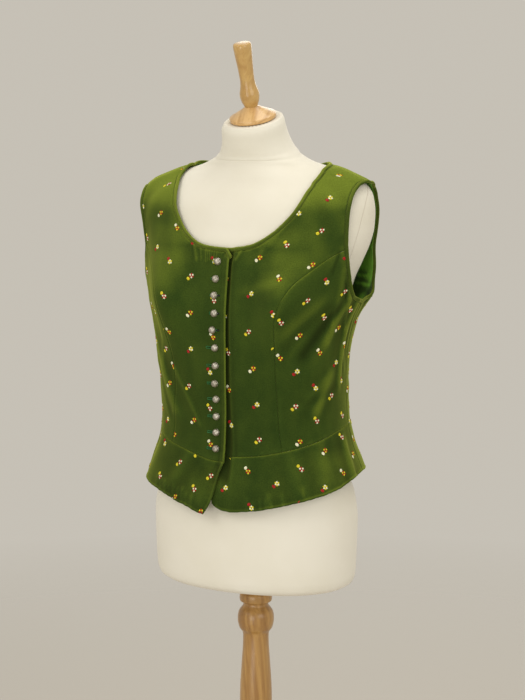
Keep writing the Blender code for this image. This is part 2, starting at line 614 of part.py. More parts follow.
right_neck = [(strip_angle(x, right_neck_height(x)), right_neck_height(x)) for x in RIGHT_COLUMNS]
left_neck = [(strip_angle(x, neck_height(x)), neck_height(x)) for x in LEFT_COLUMNS[-3:]]
neck_stations = pick(front_right, right_neck + mirror(NECK_LINE[1:]))
neck_stations += pick(backs["right"], mirror(BACK_NECK_LINE[1:-1]))
neck_stations += pick(backs["left"], BACK_NECK_LINE[::-1][:-1])
neck_stations += pick(front_left, NECK_LINE[::-1][:-1] + left_neck[::-1])
piping("neck_piping", neck_stations, EDGE_GREEN)
for side, fold, edge, front in (("left", list, side_left, front_left),
                                ("right", mirror, side_right, front_right)):
    arm_stations = pick(edge, fold(UNDER_LINE[::-1]))
    arm_stations += pick(front, fold(ARM_LINE[1:]))
    arm_stations += pick(backs[side], fold(BACK_ARM_LINE[::-1][1:]))
    piping("armhole_piping_" + side, arm_stations, EDGE_GREEN)


# Buttons: domes that sit flat on the right front.
BUTTON_SIDES = 10
DOME = ((0.0, 0.0), (0.86, 0.0), (1.0, 0.16), (0.93, 0.48), (0.70, 0.80), (0.36, 0.96), (0.0, 1.0))
for number, z in enumerate(BUTTON_HEIGHTS, start=1):
    angle = strip_angle(BUTTON_X, z)
    facing = CLOTH.facing(CLOTH.place, angle, z)
    seat = Matrix.Translation(CLOTH.point(angle, z, WOOD_GAP))
    seat @= facing.to_track_quat("Z", "Y").to_matrix().to_4x4()
    turned(f"button_{number:02d}",
           [(BUTTON_RADIUS * radius, BUTTON_HEIGHT * height) for radius, height in DOME],
           BUTTON_SIDES, METAL, seat, 60.0)


# Turned wood on the neck: a low cap with a rim, and a handle with a bulb at its foot.
CAP_TOP = CAP_RIM + CAP_RISE
FINIAL_SIDES = 24
CAP_PROFILE = ((CAP_RADIUS - 0.0015, 0.0), (CAP_RADIUS, 0.0015), (CAP_RADIUS, CAP_RIM - 0.001),
               (CAP_RADIUS - 0.001, CAP_RIM), (0.0300, CAP_RIM + 0.0035),
               (0.0180, CAP_RIM + 0.0100), (0.0100, CAP_TOP))
HANDLE_PROFILE = ((0.0125, 0.0060), (0.0153, 0.0130), (0.0156, 0.0190), (0.0145, 0.0250),
                  (0.0123, 0.0330), (0.0116, 0.0420), (0.0121, 0.0550), (0.0134, 0.0750),
                  (0.0145, 0.0930), (0.0144, 0.0985), (0.0129, 0.1015), (0.0070, HANDLE_LENGTH))
top = FORM_SECTIONS[-1]
NECK_SEAT = Matrix.Translation((0, top.middle, top.z)) @ Matrix.Rotation(NECK_TILT, 4, "X")
turned("neck_finial",
       CAP_PROFILE + tuple((radius, CAP_TOP + height) for radius, height in HANDLE_PROFILE),
       FINIAL_SIDES, BEECH, NECK_SEAT @ Matrix.Translation((0, 0, WOOD_GAP)))


# Pole and base.
POLE_BOTTOM, POLE_TOP = BASE_HEIGHT + WOOD_GAP, FORM_SECTIONS[0].z - WOOD_GAP
POLE_PROFILE = ((0.0300, POLE_BOTTOM), (0.0300, 0.0420), (0.0275, 0.0480), (0.0270, 0.2000),
                (0.0272, 0.4000), (0.0266, 0.5200), (0.0240, 0.5700), (0.0216, 0.6050),
                (0.0213, 0.6200), (0.0222, 0.6290), (0.0262, 0.6340), (0.0290, 0.6410),
                (0.0300, 0.6510), (0.0286, 0.6610), (0.0255, 0.6680), (0.0210, 0.6720),
                (0.0207, 0.6770), (0.0262, 0.6800), (0.0268, 0.6860), (0.0262, 0.6930),
                (0.0230, 0.6960), (0.0230, POLE_TOP))
BASE_PROFILE = ((BASE_RADIUS, 0.0), (BASE_RADIUS, 0.0100), (BASE_RADIUS - 0.004, 0.0160),
                (BASE_RADIUS - 0.014, 0.0200), (0.0800, 0.0270), (0.0600, BASE_HEIGHT))
turned("stand_pole", POLE_PROFILE, 20, BEECH)
turned("stand_base", BASE_PROFILE, 40, BEECH)
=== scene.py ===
"""Embroidered velvet waistcoat on a dress form with a turned wooden stand, in metres.

+Z up. The form faces -Y and the wearer's left is +X.
"""
import math

import bpy
import numpy as np
from mathutils import Matrix, Vector


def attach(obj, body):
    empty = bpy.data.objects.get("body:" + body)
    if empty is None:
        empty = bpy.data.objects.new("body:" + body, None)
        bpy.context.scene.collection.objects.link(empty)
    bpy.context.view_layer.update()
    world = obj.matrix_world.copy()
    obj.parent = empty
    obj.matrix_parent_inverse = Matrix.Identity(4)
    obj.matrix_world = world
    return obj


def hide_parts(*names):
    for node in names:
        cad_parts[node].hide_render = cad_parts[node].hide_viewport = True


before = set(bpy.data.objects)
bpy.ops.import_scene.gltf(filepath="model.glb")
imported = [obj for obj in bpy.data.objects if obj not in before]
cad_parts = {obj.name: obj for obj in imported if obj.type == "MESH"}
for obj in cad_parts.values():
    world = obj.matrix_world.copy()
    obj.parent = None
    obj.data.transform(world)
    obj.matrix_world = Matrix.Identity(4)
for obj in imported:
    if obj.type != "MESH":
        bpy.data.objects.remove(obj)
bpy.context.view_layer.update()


# ---------------------------------------------------------------------------------------
# Camera, floor and light. The camera stands at the chest's height, a little to the
# wearer's left of the front, and looks slightly down. The floor fades out into the
# plain backdrop, and large soft lights stand above on both sides.
EYE_DISTANCE, EYE_HEIGHT, EYE_SIDE = 2.9, 1.47, math.radians(28.0)
PICTURE_WIDE, PICTURE_HIGH, LENS = 525, 700, 1800  # in dots of the picture
CENTRE_X, HORIZON_Y = 255.7, 118.6  # where the stand's axis and the eye's height fall
bpy.ops.object.camera_add(
    location=(EYE_DISTANCE * math.sin(EYE_SIDE), -EYE_DISTANCE * math.cos(EYE_SIDE), EYE_HEIGHT),
    rotation=(math.pi / 2 - math.atan((PICTURE_HIGH / 2 - HORIZON_Y) / LENS), 0,
              EYE_SIDE - math.atan((PICTURE_WIDE / 2 - CENTRE_X) / LENS)))
camera = bpy.context.object
camera.data.sensor_width = 36
camera.data.lens = LENS / PICTURE_HIGH * 36
bpy.context.scene.camera = camera
bpy.context.scene.view_settings.view_transform = "Standard"


def new_finish(name):
    """A material, and a call that adds a node to it and gives back one of its outputs.

    The node's inputs are values or other nodes' outputs.
    """
    made = bpy.data.materials.new(name)
    made.use_nodes = True
    nodes, links = made.node_tree.nodes, made.node_tree.links

    def add(what, inputs=(), ramp=(), **settings):
        kind, output = what.split(".")
        node = nodes["Principled BSDF"] if kind == "Shader" else nodes.new("ShaderNode" + kind)
        for key, value in settings.items():
            setattr(node, key, value)
        for stop, (position, colour) in zip(node.color_ramp.elements if ramp else (), ramp):
            stop.position, stop.color = position, (*colour, 1)
        for key, value in dict(inputs).items():
            socket = node.inputs[key]
            if isinstance(value, bpy.types.NodeSocket):
                links.new(value, socket)
            else:
                socket.default_value = (*value, 1) if socket.type == "RGBA" else value
        return node.outputs[output]
    return made, add


bpy.ops.mesh.primitive_circle_add(vertices=96, radius=6.0, fill_type="NGON",
                                  location=(0, 0, -0.0005))
floor = bpy.context.object
floor.name = "studio_floor"
paper, add = new_finish("studio_paper")
shrunk = add("Mapping.Vector", {"Vector": add("TexCoord.Object"), "Scale": (1 / 3.4,) * 3})
spot = add("TexGradient.Fac", {"Vector": shrunk}, gradient_type="SPHERICAL")
add("Shader.BSDF", {"Base Color": (0.56, 0.53, 0.48), "Roughness": 0.9,
                    "Alpha": add("MapRange.Result", {"Value": spot, "From Max": 0.6})})
floor.data.materials.append(paper)

STUDIO_LIGHT = (1.0, 0.99, 0.96)
world = bpy.data.worlds.new("studio")
bpy.context.scene.world = world
world.use_nodes = True
backdrop = world.node_tree.nodes["Background"]
backdrop.inputs["Color"].default_value = (0.565, 0.53, 0.465, 1)
backdrop.inputs["Strength"].default_value = 1.0
for name, where, size, power, tint in (
        ("key", (-1.6, -2.6, 3.0), 1.8, 25, STUDIO_LIGHT),
        ("fill", (2.8, -1.6, 2.0), 2.2, 28, STUDIO_LIGHT),
        ("low", (0.2, -3.2, 0.7), 1.6, 19, STUDIO_LIGHT),
        ("top", (0.4, 0.2, 3.4), 1.6, 20, (1.0, 0.99, 0.97)),
        ("back", (-0.8, 3.0, 2.6), 2.0, 22, STUDIO_LIGHT)):
    bpy.ops.object.light_add(type="AREA", location=where)
    lamp = bpy.context.object
    lamp.name = name + "_light"
    lamp.data.size, lamp.data.energy, lamp.data.color = size, power, tint
    aim = Vector((0, 0, 1.15)) - Vector(where)
    lamp.rotation_euler = aim.to_track_quat("-Z", "Y").to_euler()


# ---------------------------------------------------------------------------------------
# Stand. A round beech base and a turned beech pole with two beads under the form,
# varnished in a honey colour and screwed together from below.
def lathe(name, rows, sides=72):
    """A piece turned from (radius, height) rows: a disc drawn up and in or out, row by row."""
    bpy.ops.object.select_all(action="DESELECT")
    radius, height = rows[0]
    bpy.ops.mesh.primitive_circle_add(vertices=sides, radius=radius, fill_type="NGON",
                                      location=(0, 0, height))
    made = bpy.context.object
    made.name = made.data.name = name
    bpy.ops.object.transform_apply(location=True)
    bpy.ops.object.mode_set(mode="EDIT")
    bpy.ops.mesh.select_all(action="SELECT")
    for wider, higher in rows[1:]:
        bpy.ops.mesh.extrude_region_move(
            TRANSFORM_OT_translate={"value": (0, 0, higher - height)})
        bpy.ops.transform.resize(value=(wider / radius, wider / radius, 1),
                                 center_override=(0, 0, higher))
        radius, height = wider, higher
    bpy.ops.mesh.select_all(action="SELECT")
    bpy.ops.mesh.normals_make_consistent(inside=False)
    bpy.ops.object.mode_set(mode="OBJECT")
    bpy.ops.object.shade_smooth_by_angle(angle=math.radians(32))
    return made


def between(rows, steps=4):
    """More rows on a smooth curve through the rows, for long turned swells."""
    keys = np.arange(len(rows))
    table = smooth_table([(key, *row) for key, row in zip(keys, rows)])
    finer = np.linspace(0, keys[-1], keys[-1] * steps + 1)
    return [tuple(row) for row in read_table(table, finer)]


def smooth_table(rows):
    """Slopes of a smooth curve through a table's rows that never swings past a row."""
    rows = np.array(rows, float)
    keys, values = rows[:, 0], rows[:, 1:]
    steps = np.diff(keys)[:, None]
    rates = np.diff(values, axis=0) / steps
    slopes = np.vstack([rates[:1], np.zeros_like(values[2:]), rates[-1:]])
    before, after = rates[:-1], rates[1:]
    near, far = 2 * steps[1:] + steps[:-1], steps[1:] + 2 * steps[:-1]
    same = before * after > 0
    harmonic = (near + far) / (near / np.where(same, before, 1) + far / np.where(same, after, 1))
    slopes[1:-1] = np.where(same, harmonic, 0.0)
    return keys, values, slopes


def read_table(table, key):
    keys, values, slopes = table
    key = np.clip(key, keys[0], keys[-1])
    i = np.clip(np.searchsorted(keys, key) - 1, 0, len(keys) - 2)
    step = (keys[i + 1] - keys[i])[..., None]
    t = (key - keys[i])[..., None] / step
    return ((1 + 2 * t) * (1 - t) ** 2 * values[i] + t * t * (3 - 2 * t) * values[i + 1]
            + step * t * (1 - t) ** 2 * slopes[i] + step * t * t * (t - 1) * slopes[i + 1])


def beech(name, pale, deep, gloss, tilt=0.0, stretch=0.06):
    """Varnished beech: long soft rings and short dark flecks that run along the turning."""
    made, add = new_finish(name)
    turned = add("Mapping.Vector", {"Vector": add("TexCoord.Object"),
                                    "Rotation": (tilt, 0.12, 0)})
    along = add("Mapping.Vector", {"Vector": turned, "Scale": (1, 1, stretch)})
    rings = add("TexNoise.Fac", {"Vector": along, "Scale": 75, "Detail": 5, "Distortion": 1.1})
    flecks = add("TexNoise.Fac", {"Vector": along, "Scale": 620, "Detail": 2})
    wood = add("ValToRGB.Color", {"Fac": rings}, ((0.34, deep), (0.66, pale)))
    spots = add("MapRange.Result", {"Value": flecks, "From Min": 0.58, "From Max": 0.78,
                                    "To Max": 0.55})
    wood = add("Mix.Result", {"Factor": spots, "A": wood, "B": (0.62, 0.5, 0.36)},
               data_type="RGBA", blend_type="MULTIPLY")
    pores = add("Bump.Normal", {"Height": flecks, "Strength": 0.15, "Distance": 0.0004})
    add("Shader.BSDF", {"Base Color": wood, "Normal": pores, "Roughness": gloss,
                        "Coat Weight": 0.35, "Coat Roughness": 0.18})
    return made


honey_beech = beech("honey_beech", (0.5, 0.285, 0.085), (0.33, 0.165, 0.042), 0.34)
base = lathe("stand_base_wood", [
    (0.21, 0.0), (0.2135, 0.0012), (0.215, 0.0035), (0.215, 0.0105), (0.214, 0.014),
    (0.2112, 0.0168), (0.206, 0.0188), (0.201, 0.0199), (0.16, 0.0226), (0.09, 0.0264),
    (0.081, 0.027), (0.078, 0.0276), (0.07, 0.029), (0.06, 0.03)], 128)
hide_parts("stand_base")
pole = lathe("stand_pole_wood", between([
    (0.0296, 0.0304), (0.0301, 0.033), (0.03, 0.04), (0.0288, 0.045), (0.0275, 0.049),
    (0.027, 0.12), (0.027, 0.26), (0.0272, 0.4), (0.0266, 0.52), (0.024, 0.57),
    (0.0216, 0.605), (0.0212, 0.62), (0.0218, 0.627), (0.0244, 0.6312), (0.0268, 0.6345),
    (0.0287, 0.64), (0.03, 0.6475), (0.03, 0.654), (0.0288, 0.661), (0.0262, 0.6665),
    (0.0228, 0.6705), (0.0209, 0.6735), (0.0206, 0.6765), (0.0222, 0.6785), (0.0256, 0.68),
    (0.0266, 0.6825), (0.0269, 0.687), (0.0262, 0.6925), (0.024, 0.6952), (0.023, 0.6975),
    (0.023, 0.719)], 3))
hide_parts("stand_pole")
for piece in (base, pole):
    piece.data.materials.append(honey_beech)
    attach(piece, "root")


# ---------------------------------------------------------------------------------------
# Dress form. A padded body without head, arms or legs, under a stretched cover of cream
# cotton jersey. The cover is seamed round the neck, down each side and round the arm
# plates, and gathered under the neck's cap and over the lower edge.
PER_DEGREE = 0.003  # metres on the cloth for a degree round the body
# z, half width, front, back, middle, fullness, tilt
FORM_RINGS = (
    (0.72, 0.157, 0.108, 0.104, 0, 0.02, 0), (0.726, 0.1665, 0.115, 0.11, 0, 0.02, 0),
    (0.74, 0.1715, 0.119, 0.113, 0, 0.02, 0), (0.78, 0.1735, 0.122, 0.115, 0, 0.02, 0),
    (0.83, 0.175, 0.121, 0.116, 0, 0.02, 0), (0.87, 0.169, 0.116, 0.116, 0, 0.02, 0),
    (0.92, 0.146, 0.107, 0.104, 0, 0.02, 0), (0.965, 0.131, 0.099, 0.09, 0, 0.02, 0),
    (1.01, 0.133, 0.098, 0.088, -0.003, 0.02, 0), (1.06, 0.141, 0.101, 0.093, -0.005, 0.02, 0),
    (1.11, 0.148, 0.106, 0.1, -0.005, 0.03, 0), (1.15, 0.152, 0.11, 0.104, -0.003, 0.04, 0),
    (1.19, 0.157, 0.113, 0.106, 0.003, 0.04, 0), (1.215, 0.163, 0.112, 0.108, 0.005, 0.04, 0),
    (1.245, 0.177, 0.111, 0.108, 0.008, 0.03, 0), (1.275, 0.191, 0.108, 0.106, 0.01, 0.02, 0),
    (1.3, 0.198, 0.101, 0.103, 0.012, 0.01, 0), (1.33, 0.201, 0.091, 0.095, 0.012, -0.01, 0),
    (1.352, 0.199, 0.079, 0.083, 0.012, -0.06, 0), (1.363, 0.193, 0.0715, 0.076, 0.012, -0.1, 0),
    (1.372, 0.184, 0.067, 0.071, 0.012, -0.14, 0),
    (1.3805, 0.169, 0.0645, 0.0665, 0.012, -0.18, 0),
    (1.3895, 0.144, 0.0625, 0.062, 0.014, -0.2, 0),
    (1.3955, 0.12, 0.0625, 0.059, 0.017, -0.16, 0),
    (1.4005, 0.101, 0.0625, 0.056, 0.018, -0.1, 0),
    (1.4065, 0.084, 0.061, 0.0535, 0.016, -0.06, 0.05),
    (1.4155, 0.069, 0.0575, 0.0515, 0.012, -0.02, 0.12),
    (1.428, 0.059, 0.0535, 0.05, 0.005, 0, 0.22), (1.445, 0.053, 0.05, 0.049, -0.003, 0, 0.325),
    (1.462, 0.0505, 0.0485, 0.0485, -0.008, 0, 0.325),
    (1.469, 0.047, 0.0465, 0.0465, -0.008, 0, 0.325))


def swell_of(rings, bust_z, bust_forward, bust_reach):
    """A body's surface as points over degrees round it and height, with its bust."""
    table = smooth_table(rings)

    def surface(angle, z):
        half, front, back, middle, fullness, tilt = np.moveaxis(read_table(table, z), -1, 0)
        turn = np.radians(angle)
        full = 1 + fullness * np.sin(2 * turn) ** 2
        forward = np.where(np.cos(turn) > 0, front, back) * np.cos(turn) * full
        bust = sum(np.exp(-((angle - side) / 13.0) ** 2 - ((z - bust_z) / bust_reach) ** 2)
                   for side in (34.0, -34.0))
        return np.stack([half * np.sin(turn) * full, middle - forward - bust_forward * bust,
                         z - tilt * forward], -1)
    return surface


def unit(vectors):
    return vectors / np.linalg.norm(vectors, axis=-1, keepdims=True)


def facing(surface, angle, z):
    """Direction out of a surface at each place."""
    return unit(np.cross(surface(angle + 0.5, z) - surface(angle - 0.5, z),
                         surface(angle, z + 0.001) - surface(angle, z - 0.001)))


def hump(value, middle, width):
    """A smooth rise to 1 at the middle, and back to 0 on both sides."""
    return np.exp(-((value - middle) / width) ** 2)


def quads(ids, closed=False):
    """Faces between the neighbours in a grid of point numbers, whose rows may close."""
    if closed:
        ids = np.column_stack([ids, ids[:, 0]])
    return np.stack([ids[:-1, :-1], ids[:-1, 1:], ids[1:, 1:], ids[1:, :-1]],
                    -1).reshape(-1, 4).tolist()


def new_piece(name, points, faces, finishes, uv=None):
    """A named mesh piece, shaded smooth, that rides with the form."""
    mesh = bpy.data.meshes.new(name)
    mesh.from_pydata([tuple(p) for p in points], [], faces)
    mesh.shade_smooth()
    if uv is not None:
        layer = mesh.uv_layers.new(name="cloth")
        corners = np.empty(len(mesh.loops), dtype=int)
        mesh.loops.foreach_get("vertex_index", corners)
        layer.data.foreach_set("uv", np.asarray(uv, float)[corners].ravel())
    piece = bpy.data.objects.new(name, mesh)
    bpy.context.collection.objects.link(piece)
    for finish in finishes:
        mesh.materials.append(finish)
    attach(piece, "root")
    return piece


def take_up(piece):
    """Selects one piece alone, to work on it."""
    bpy.ops.object.select_all(action="DESELECT")
    piece.select_set(True)
    bpy.context.view_layer.objects.active = piece


def all_over(piece, task, **settings):
    """An edit mode task on the whole of one piece."""
    take_up(piece)
    bpy.ops.object.mode_set(mode="EDIT")
    bpy.ops.mesh.select_all(action="SELECT")
    task(**settings)
    bpy.ops.object.mode_set(mode="OBJECT")


jersey, add = new_finish("cream_jersey")
on_cloth = add("TexCoord.UV")
cloud = add("TexNoise.Fac", {"Vector": add("TexCoord.Object"), "Scale": 7, "Detail": 4})
tone = add("ValToRGB.Color", {"Fac": cloud},
           ((0.3, (0.765, 0.725, 0.605)), (0.7, (0.835, 0.8, 0.7))))
wales = add("TexWave.Fac", {"Vector": on_cloth, "Scale": 420, "Distortion": 1.5, "Detail": 1,
                            "Detail Scale": 3}, bands_direction="X")
knit = add("Bump.Normal", {"Height": wales, "Strength": 0.22, "Distance": 0.0003})
# the sunk seam round each arm plate is an oval on the cover: its place and half sizes
PLATE_ANGLE, PLATE_Z, PLATE_HALF, PLATE_RISE = 95.0, 1.286, 0.0645, 0.0815
one_side = add("VectorMath.Vector", {0: on_cloth}, operation="ABSOLUTE")
plate = add("Mapping.Vector", {
    "Vector": one_side, "Scale": (1 / PLATE_HALF, 1 / PLATE_RISE, 0),
    "Location": (-PLATE_ANGLE * PER_DEGREE / PLATE_HALF, -PLATE_Z / PLATE_RISE, 0)})
from_middle = add("VectorMath.Value", {0: plate}, operation="LENGTH")
off_seam = add("Math.Value", {0: from_middle, 1: 1.0}, operation="SUBTRACT")
apart = add("Math.Value", {0: off_seam}, operation="ABSOLUTE")
seam = add("MapRange.Result", {"Value": apart, "From Max": 0.016, "To Min": 1.0, "To Max": 0.0})
seam_share = add("Math.Value", {0: seam, 1: 0.42}, operation="MULTIPLY")
seam_tone = add("Mix.Result", {"Factor": seam_share, "A": tone, "B": (0.42, 0.31, 0.2)},
                data_type="RGBA")
sunk_seam = add("Bump.Normal", {"Height": seam, "Normal": knit, "Strength": 0.6,
                                "Distance": 0.0008}, invert=True)
add("Shader.BSDF", {"Base Color": seam_tone, "Normal": sunk_seam, "Roughness": 0.82,
                    "Sheen Weight": 0.25, "Sheen Roughness": 0.5,
                    "Sheen Tint": (1.0, 0.96, 0.88)})

form_body = swell_of(FORM_RINGS, 1.175, 0.021, 0.055)
heights = np.concatenate([np.linspace(0.72, 0.742, 9), np.linspace(0.745, 1.395, 150),
                          np.linspace(1.397, 1.469, 42)])
around = np.linspace(-180, 180, 181)[:-1]
angle, z = np.meshgrid(around, heights)
# z of the neck seam over the angle; it dips at the front
neck_seam = 1.412 - 0.006 * np.cos(np.radians(angle))
relief = -0.0009 * hump(z, neck_seam, 0.0016)
relief += 0.0005 * hump(z - neck_seam, 0.0045, 0.003)
for side in (-99.0, 99.0):
    aside = (angle - side) * PER_DEGREE
    relief -= 0.0008 * hump(aside, 0, 0.0016) * (z < 1.37)
# the padding gives way under the waistcoat's lowered right shoulder
relief -= 0.0032 * np.exp(-((angle + 87) / 24) ** 4) * np.exp(-((z - 1.387) / 0.017) ** 4)
ring_points = form_body(angle, z) + facing(form_body, angle, z) * relief[..., None]
# the cover turns over the neck's edge and runs in under the cap in small gathers
top_centre = np.array([0, FORM_RINGS[-1][4], FORM_RINGS[-1][0]])
top_normal = np.array([0, -math.sin(math.radians(18)), math.cos(math.radians(18))])
crown = []
for share, drop in ((0.93, 0.0004), (0.86, 0.0003), (0.8, 0.0), (0.7, -0.0004), (0.4, -0.0004)):
    gather = 0.0005 * np.sin(np.radians(around) * 38) * (share < 0.9)
    crown.append(top_centre + (ring_points[-1] - top_centre) * share
                 + top_normal * (drop + gather - 0.0004)[:, None])
# and over the lower edge, where its hem is drawn in under the board
under = []
low_centre = np.array([0, 0, FORM_RINGS[0][0]])
for share, rise in ((0.975, -0.0003), (0.93, 0.0), (0.88, 0.0012), (0.86, 0.002), (0.5, 0.002)):
    drawn = 0.0007 * np.sin(np.radians(around) * 46 + 2 * np.sin(np.radians(around) * 5))
    drawn *= 0.87 < share < 0.94
    under.append(low_centre + (ring_points[0] - low_centre) * share
                 + np.array([0, 0, 1]) * (rise + drawn)[:, None])
form_rings = under[::-1] + list(ring_points) + crown
turns = len(around)
form_points = np.concatenate(form_rings + [[low_centre + (0, 0, 0.002)], [top_centre]])
form_faces = quads(np.arange(len(form_rings) * turns).reshape(-1, turns), closed=True)
low_id, top_id = len(form_points) - 2, len(form_points) - 1
form_faces += [(low_id, (k + 1) % turns, k) for k in range(turns)]
last = (len(form_rings) - 1) * turns
form_faces += [(top_id, last + k, last + (k + 1) % turns) for k in range(turns)]
form_uv = np.stack([np.tile(around * PER_DEGREE, len(form_rings)),
                    np.repeat([p[0, 2] for p in form_rings], turns)], -1)
form_uv = np.concatenate([form_uv, [[0, 0.7], [0, 1.47]]])
cover = new_piece("form_cover", form_points, form_faces, [jersey], form_uv)
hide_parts("dress_form")


# ---------------------------------------------------------------------------------------
# Neck finial. A beech cap turned with a blunt rim and a low cone, and a handle with a
# bulb at its foot glued into it. It is screwed to the tilted top of the neck.
pale_beech = beech("pale_beech", (0.72, 0.46, 0.19), (0.52, 0.29, 0.095), 0.32,
                   math.radians(58), 0.1)
handle_beech = beech("handle_beech", (0.6, 0.385, 0.13), (0.47, 0.27, 0.08), 0.28,
                     math.radians(18), 0.05)
cap = lathe("neck_cap_wood", [
    (0.0352, 0.0003), (0.0366, 0.0007), (0.0374, 0.0018), (0.0376, 0.003), (0.0376, 0.0062),
    (0.0372, 0.0071), (0.0364, 0.0077), (0.03, 0.0106), (0.018, 0.0171), (0.011, 0.0212),
    (0.0098, 0.0222)])
handle = lathe("neck_handle_wood", between([
    (0.01, 0.0212), (0.0122, 0.026), (0.0142, 0.031), (0.0154, 0.0368), (0.0157, 0.0412),
    (0.015, 0.0462), (0.0134, 0.052), (0.0121, 0.059), (0.0116, 0.066), (0.0119, 0.077),
    (0.0129, 0.093), (0.014, 0.108), (0.0146, 0.118), (0.0142, 0.1222), (0.013, 0.1242),
    (0.0108, 0.1248)], 3), 48)
for piece, finish in ((cap, pale_beech), (handle, handle_beech)):
    piece.data.transform(Matrix.Translation((0, FORM_RINGS[-1][4], FORM_RINGS[-1][0]))
                         @ Matrix.Rotation(math.radians(18), 4, "X"))
    piece.data.materials.append(finish)
    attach(piece, "root")
    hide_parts("neck_finial")


# ---------------------------------------------------------------------------------------
# Lining. Green satin behind the back pieces, cut in one with no seam at the centre and
# felled to the velvet's edges. It shows inside the armholes and at the back of the neck.
# z, half width, front, back, middle, fullness, tilt of the velvet's outer side
VELVET_RINGS = (
    (0.83, 0.208, 0.144, 0.142, 0.004, 0.05, 0), (0.88, 0.1935, 0.137, 0.131, 0.004, 0.05, 0),
    (0.92, 0.179, 0.127, 0.12, 0.003, 0.05, 0), (0.96, 0.164, 0.119, 0.111, 0.002, 0.05, 0),
    (1, 0.158, 0.114, 0.106, -0.001, 0.05, 0), (1.05, 0.1585, 0.108, 0.109, -0.008, 0.05, 0),
    (1.1, 0.1615, 0.109, 0.112, -0.009, 0.05, 0), (1.15, 0.17, 0.116, 0.115, -0.004, 0.05, 0),
    (1.19, 0.185, 0.121, 0.115, 0.003, 0.05, 0), (1.24, 0.1995, 0.119, 0.115, 0.008, 0.04, 0),
    (1.27, 0.203, 0.115, 0.112, 0.01, 0.03, 0), (1.3, 0.2095, 0.104, 0.11, 0.01, 0.02, 0),
    (1.335, 0.2165, 0.091, 0.102, 0.008, -0.01, 0),
    (1.352, 0.216, 0.082, 0.093, 0.009, -0.05, 0),
    (1.364, 0.2115, 0.0755, 0.0835, 0.011, -0.09, 0),
    (1.373, 0.202, 0.0715, 0.077, 0.012, -0.13, 0),
    (1.3836, 0.175, 0.0685, 0.0725, 0.012, -0.18, 0),
    (1.3934, 0.1475, 0.0665, 0.068, 0.014, -0.2, 0),
    (1.3999, 0.1235, 0.0665, 0.065, 0.017, -0.16, 0),
    (1.4054, 0.1045, 0.0665, 0.062, 0.018, -0.1, 0),
    (1.415, 0.085, 0.064, 0.057, 0.016, -0.06, 0))
# angle and z of each end, height, width of the long folds
FOLDS = (
    (86, 1.18, 84, 1.06, 0.003, 0.009), (74, 1.19, 66, 1.13, 0.0025, 0.009),
    (66, 1.17, 50, 1.11, -0.0022, 0.012), (72, 1.07, 60, 1.02, 0.0022, 0.011),
    (-66, 1.17, -34, 1.01, 0.003, 0.012), (-76, 1.19, -58, 1.08, 0.0026, 0.01),
    (-84, 1.15, -80, 1.04, 0.0024, 0.01), (84, 0.955, 82, 0.905, 0.0034, 0.012),
    (-86, 0.955, -87, 0.905, 0.0016, 0.012), (118, 1.17, 128, 1.04, 0.0028, 0.011),
    (-118, 1.16, -130, 1.05, 0.0026, 0.011), (150, 0.96, 152, 0.905, 0.0035, 0.014),
    (-148, 0.96, -150, 0.905, 0.0035, 0.014), (-57, 1.288, -54, 1.25, -0.0034, 0.024),
    (-92, 1.345, -88, 1.322, 0.0016, 0.022), (-66, 1.35, -63, 1.305, 0.0036, 0.014),
    (112, 1.226, 113, 1.196, 0.0074, 0.016), (112, 1.315, 112, 1.268, -0.0038, 0.02),
    (-60, 0.946, -63, 0.902, -0.005, 0.02), (-66, 1.262, -66, 1.24, -0.0034, 0.016),
    (90, 1.373, 104, 1.366, -0.0032, 0.01), (-90, 1.364, -104, 1.358, -0.0044, 0.012),
    (-85, 1.397, -82, 1.376, -0.004, 0.026))
# Lines of the cut on the wearer's left half, as (angle, z)
BACK_NECK = ((96, 1.4), (108, 1.3986), (125, 1.3945), (150, 1.385), (180, 1.379))
SHOULDER = ((96, 1.4), (96, 1.375))
ARM_BACK = (
    (97, 1.182), (110, 1.19), (117, 1.215), (118, 1.25), (117.5, 1.29), (117, 1.325),
    (115, 1.348), (109, 1.3652), (96, 1.375))
SIDE_SEAM = ((100, 0.985), (99, 1.06), (97.5, 1.13), (97, 1.182))
CENTRE_BACK = ((180, 0.988), (180, 1.379))
WAIST_BACK = ((100, 0.985), (140, 0.988), (180, 0.988))
VELVET = 0.0018  # through the velvet and its interlining
LINING = 0.001
SEAM_GAP = 0.0004
OPEN_RIDGE = 0.0016  # a ridge this much above its surroundings gets the full painted highlight, a hollow this deep the full painted shade


def fold_height(folds, angle, z):
    """Height of long soft folds, each of which dies away at both ends."""
    angle = (angle + 180.0) % 360.0 - 180.0
    total = np.zeros(np.broadcast(angle, z).shape)
    for angle_a, z_a, angle_b, z_b, height, width in folds:
        run, rise = (angle_b - angle_a) * PER_DEGREE, z_b - z_a
        length = math.hypot(run, rise)
        x, up = (angle - angle_a) * PER_DEGREE, z - z_a
        share = (x * run + up * rise) / length ** 2
        beyond = np.maximum(0, np.maximum(-share, share - 1)) * length
        aside = (x * rise - up * run) / length
        total += height * np.exp(-(aside / width) ** 2 - (beyond / (1.5 * width)) ** 2)
    return total


def run_along(spots):
    """How far along a line of points each of them lies."""
    return np.append(0, np.cumsum(np.linalg.norm(np.diff(spots, axis=0), axis=1)))


def route(rows, shares):
    """Places at the given shares of the length of a smooth line through a table's rows."""
    knots = np.array(rows) * (PER_DEGREE, 1)
    padded = np.vstack([knots[:1], knots, knots[-1:]])
    t = np.linspace(0, 1, 13)[1:, None]
    fine = [knots[:1]]
    for a, b, c, d in zip(padded, padded[1:], padded[2:], padded[3:]):
        fine.append(0.5 * (2 * b + (c - a) * t + (2 * a - 5 * b + 4 * c - d) * t ** 2
                           + (3 * b - a - 3 * c + d) * t ** 3))
    fine = np.vstack(fine)
    run = run_along(fine)
    return np.stack([np.interp(run[-1] * shares, run, fine[:, 0]) / PER_DEGREE,
                     np.interp(run[-1] * shares, run, fine[:, 1])], -1)


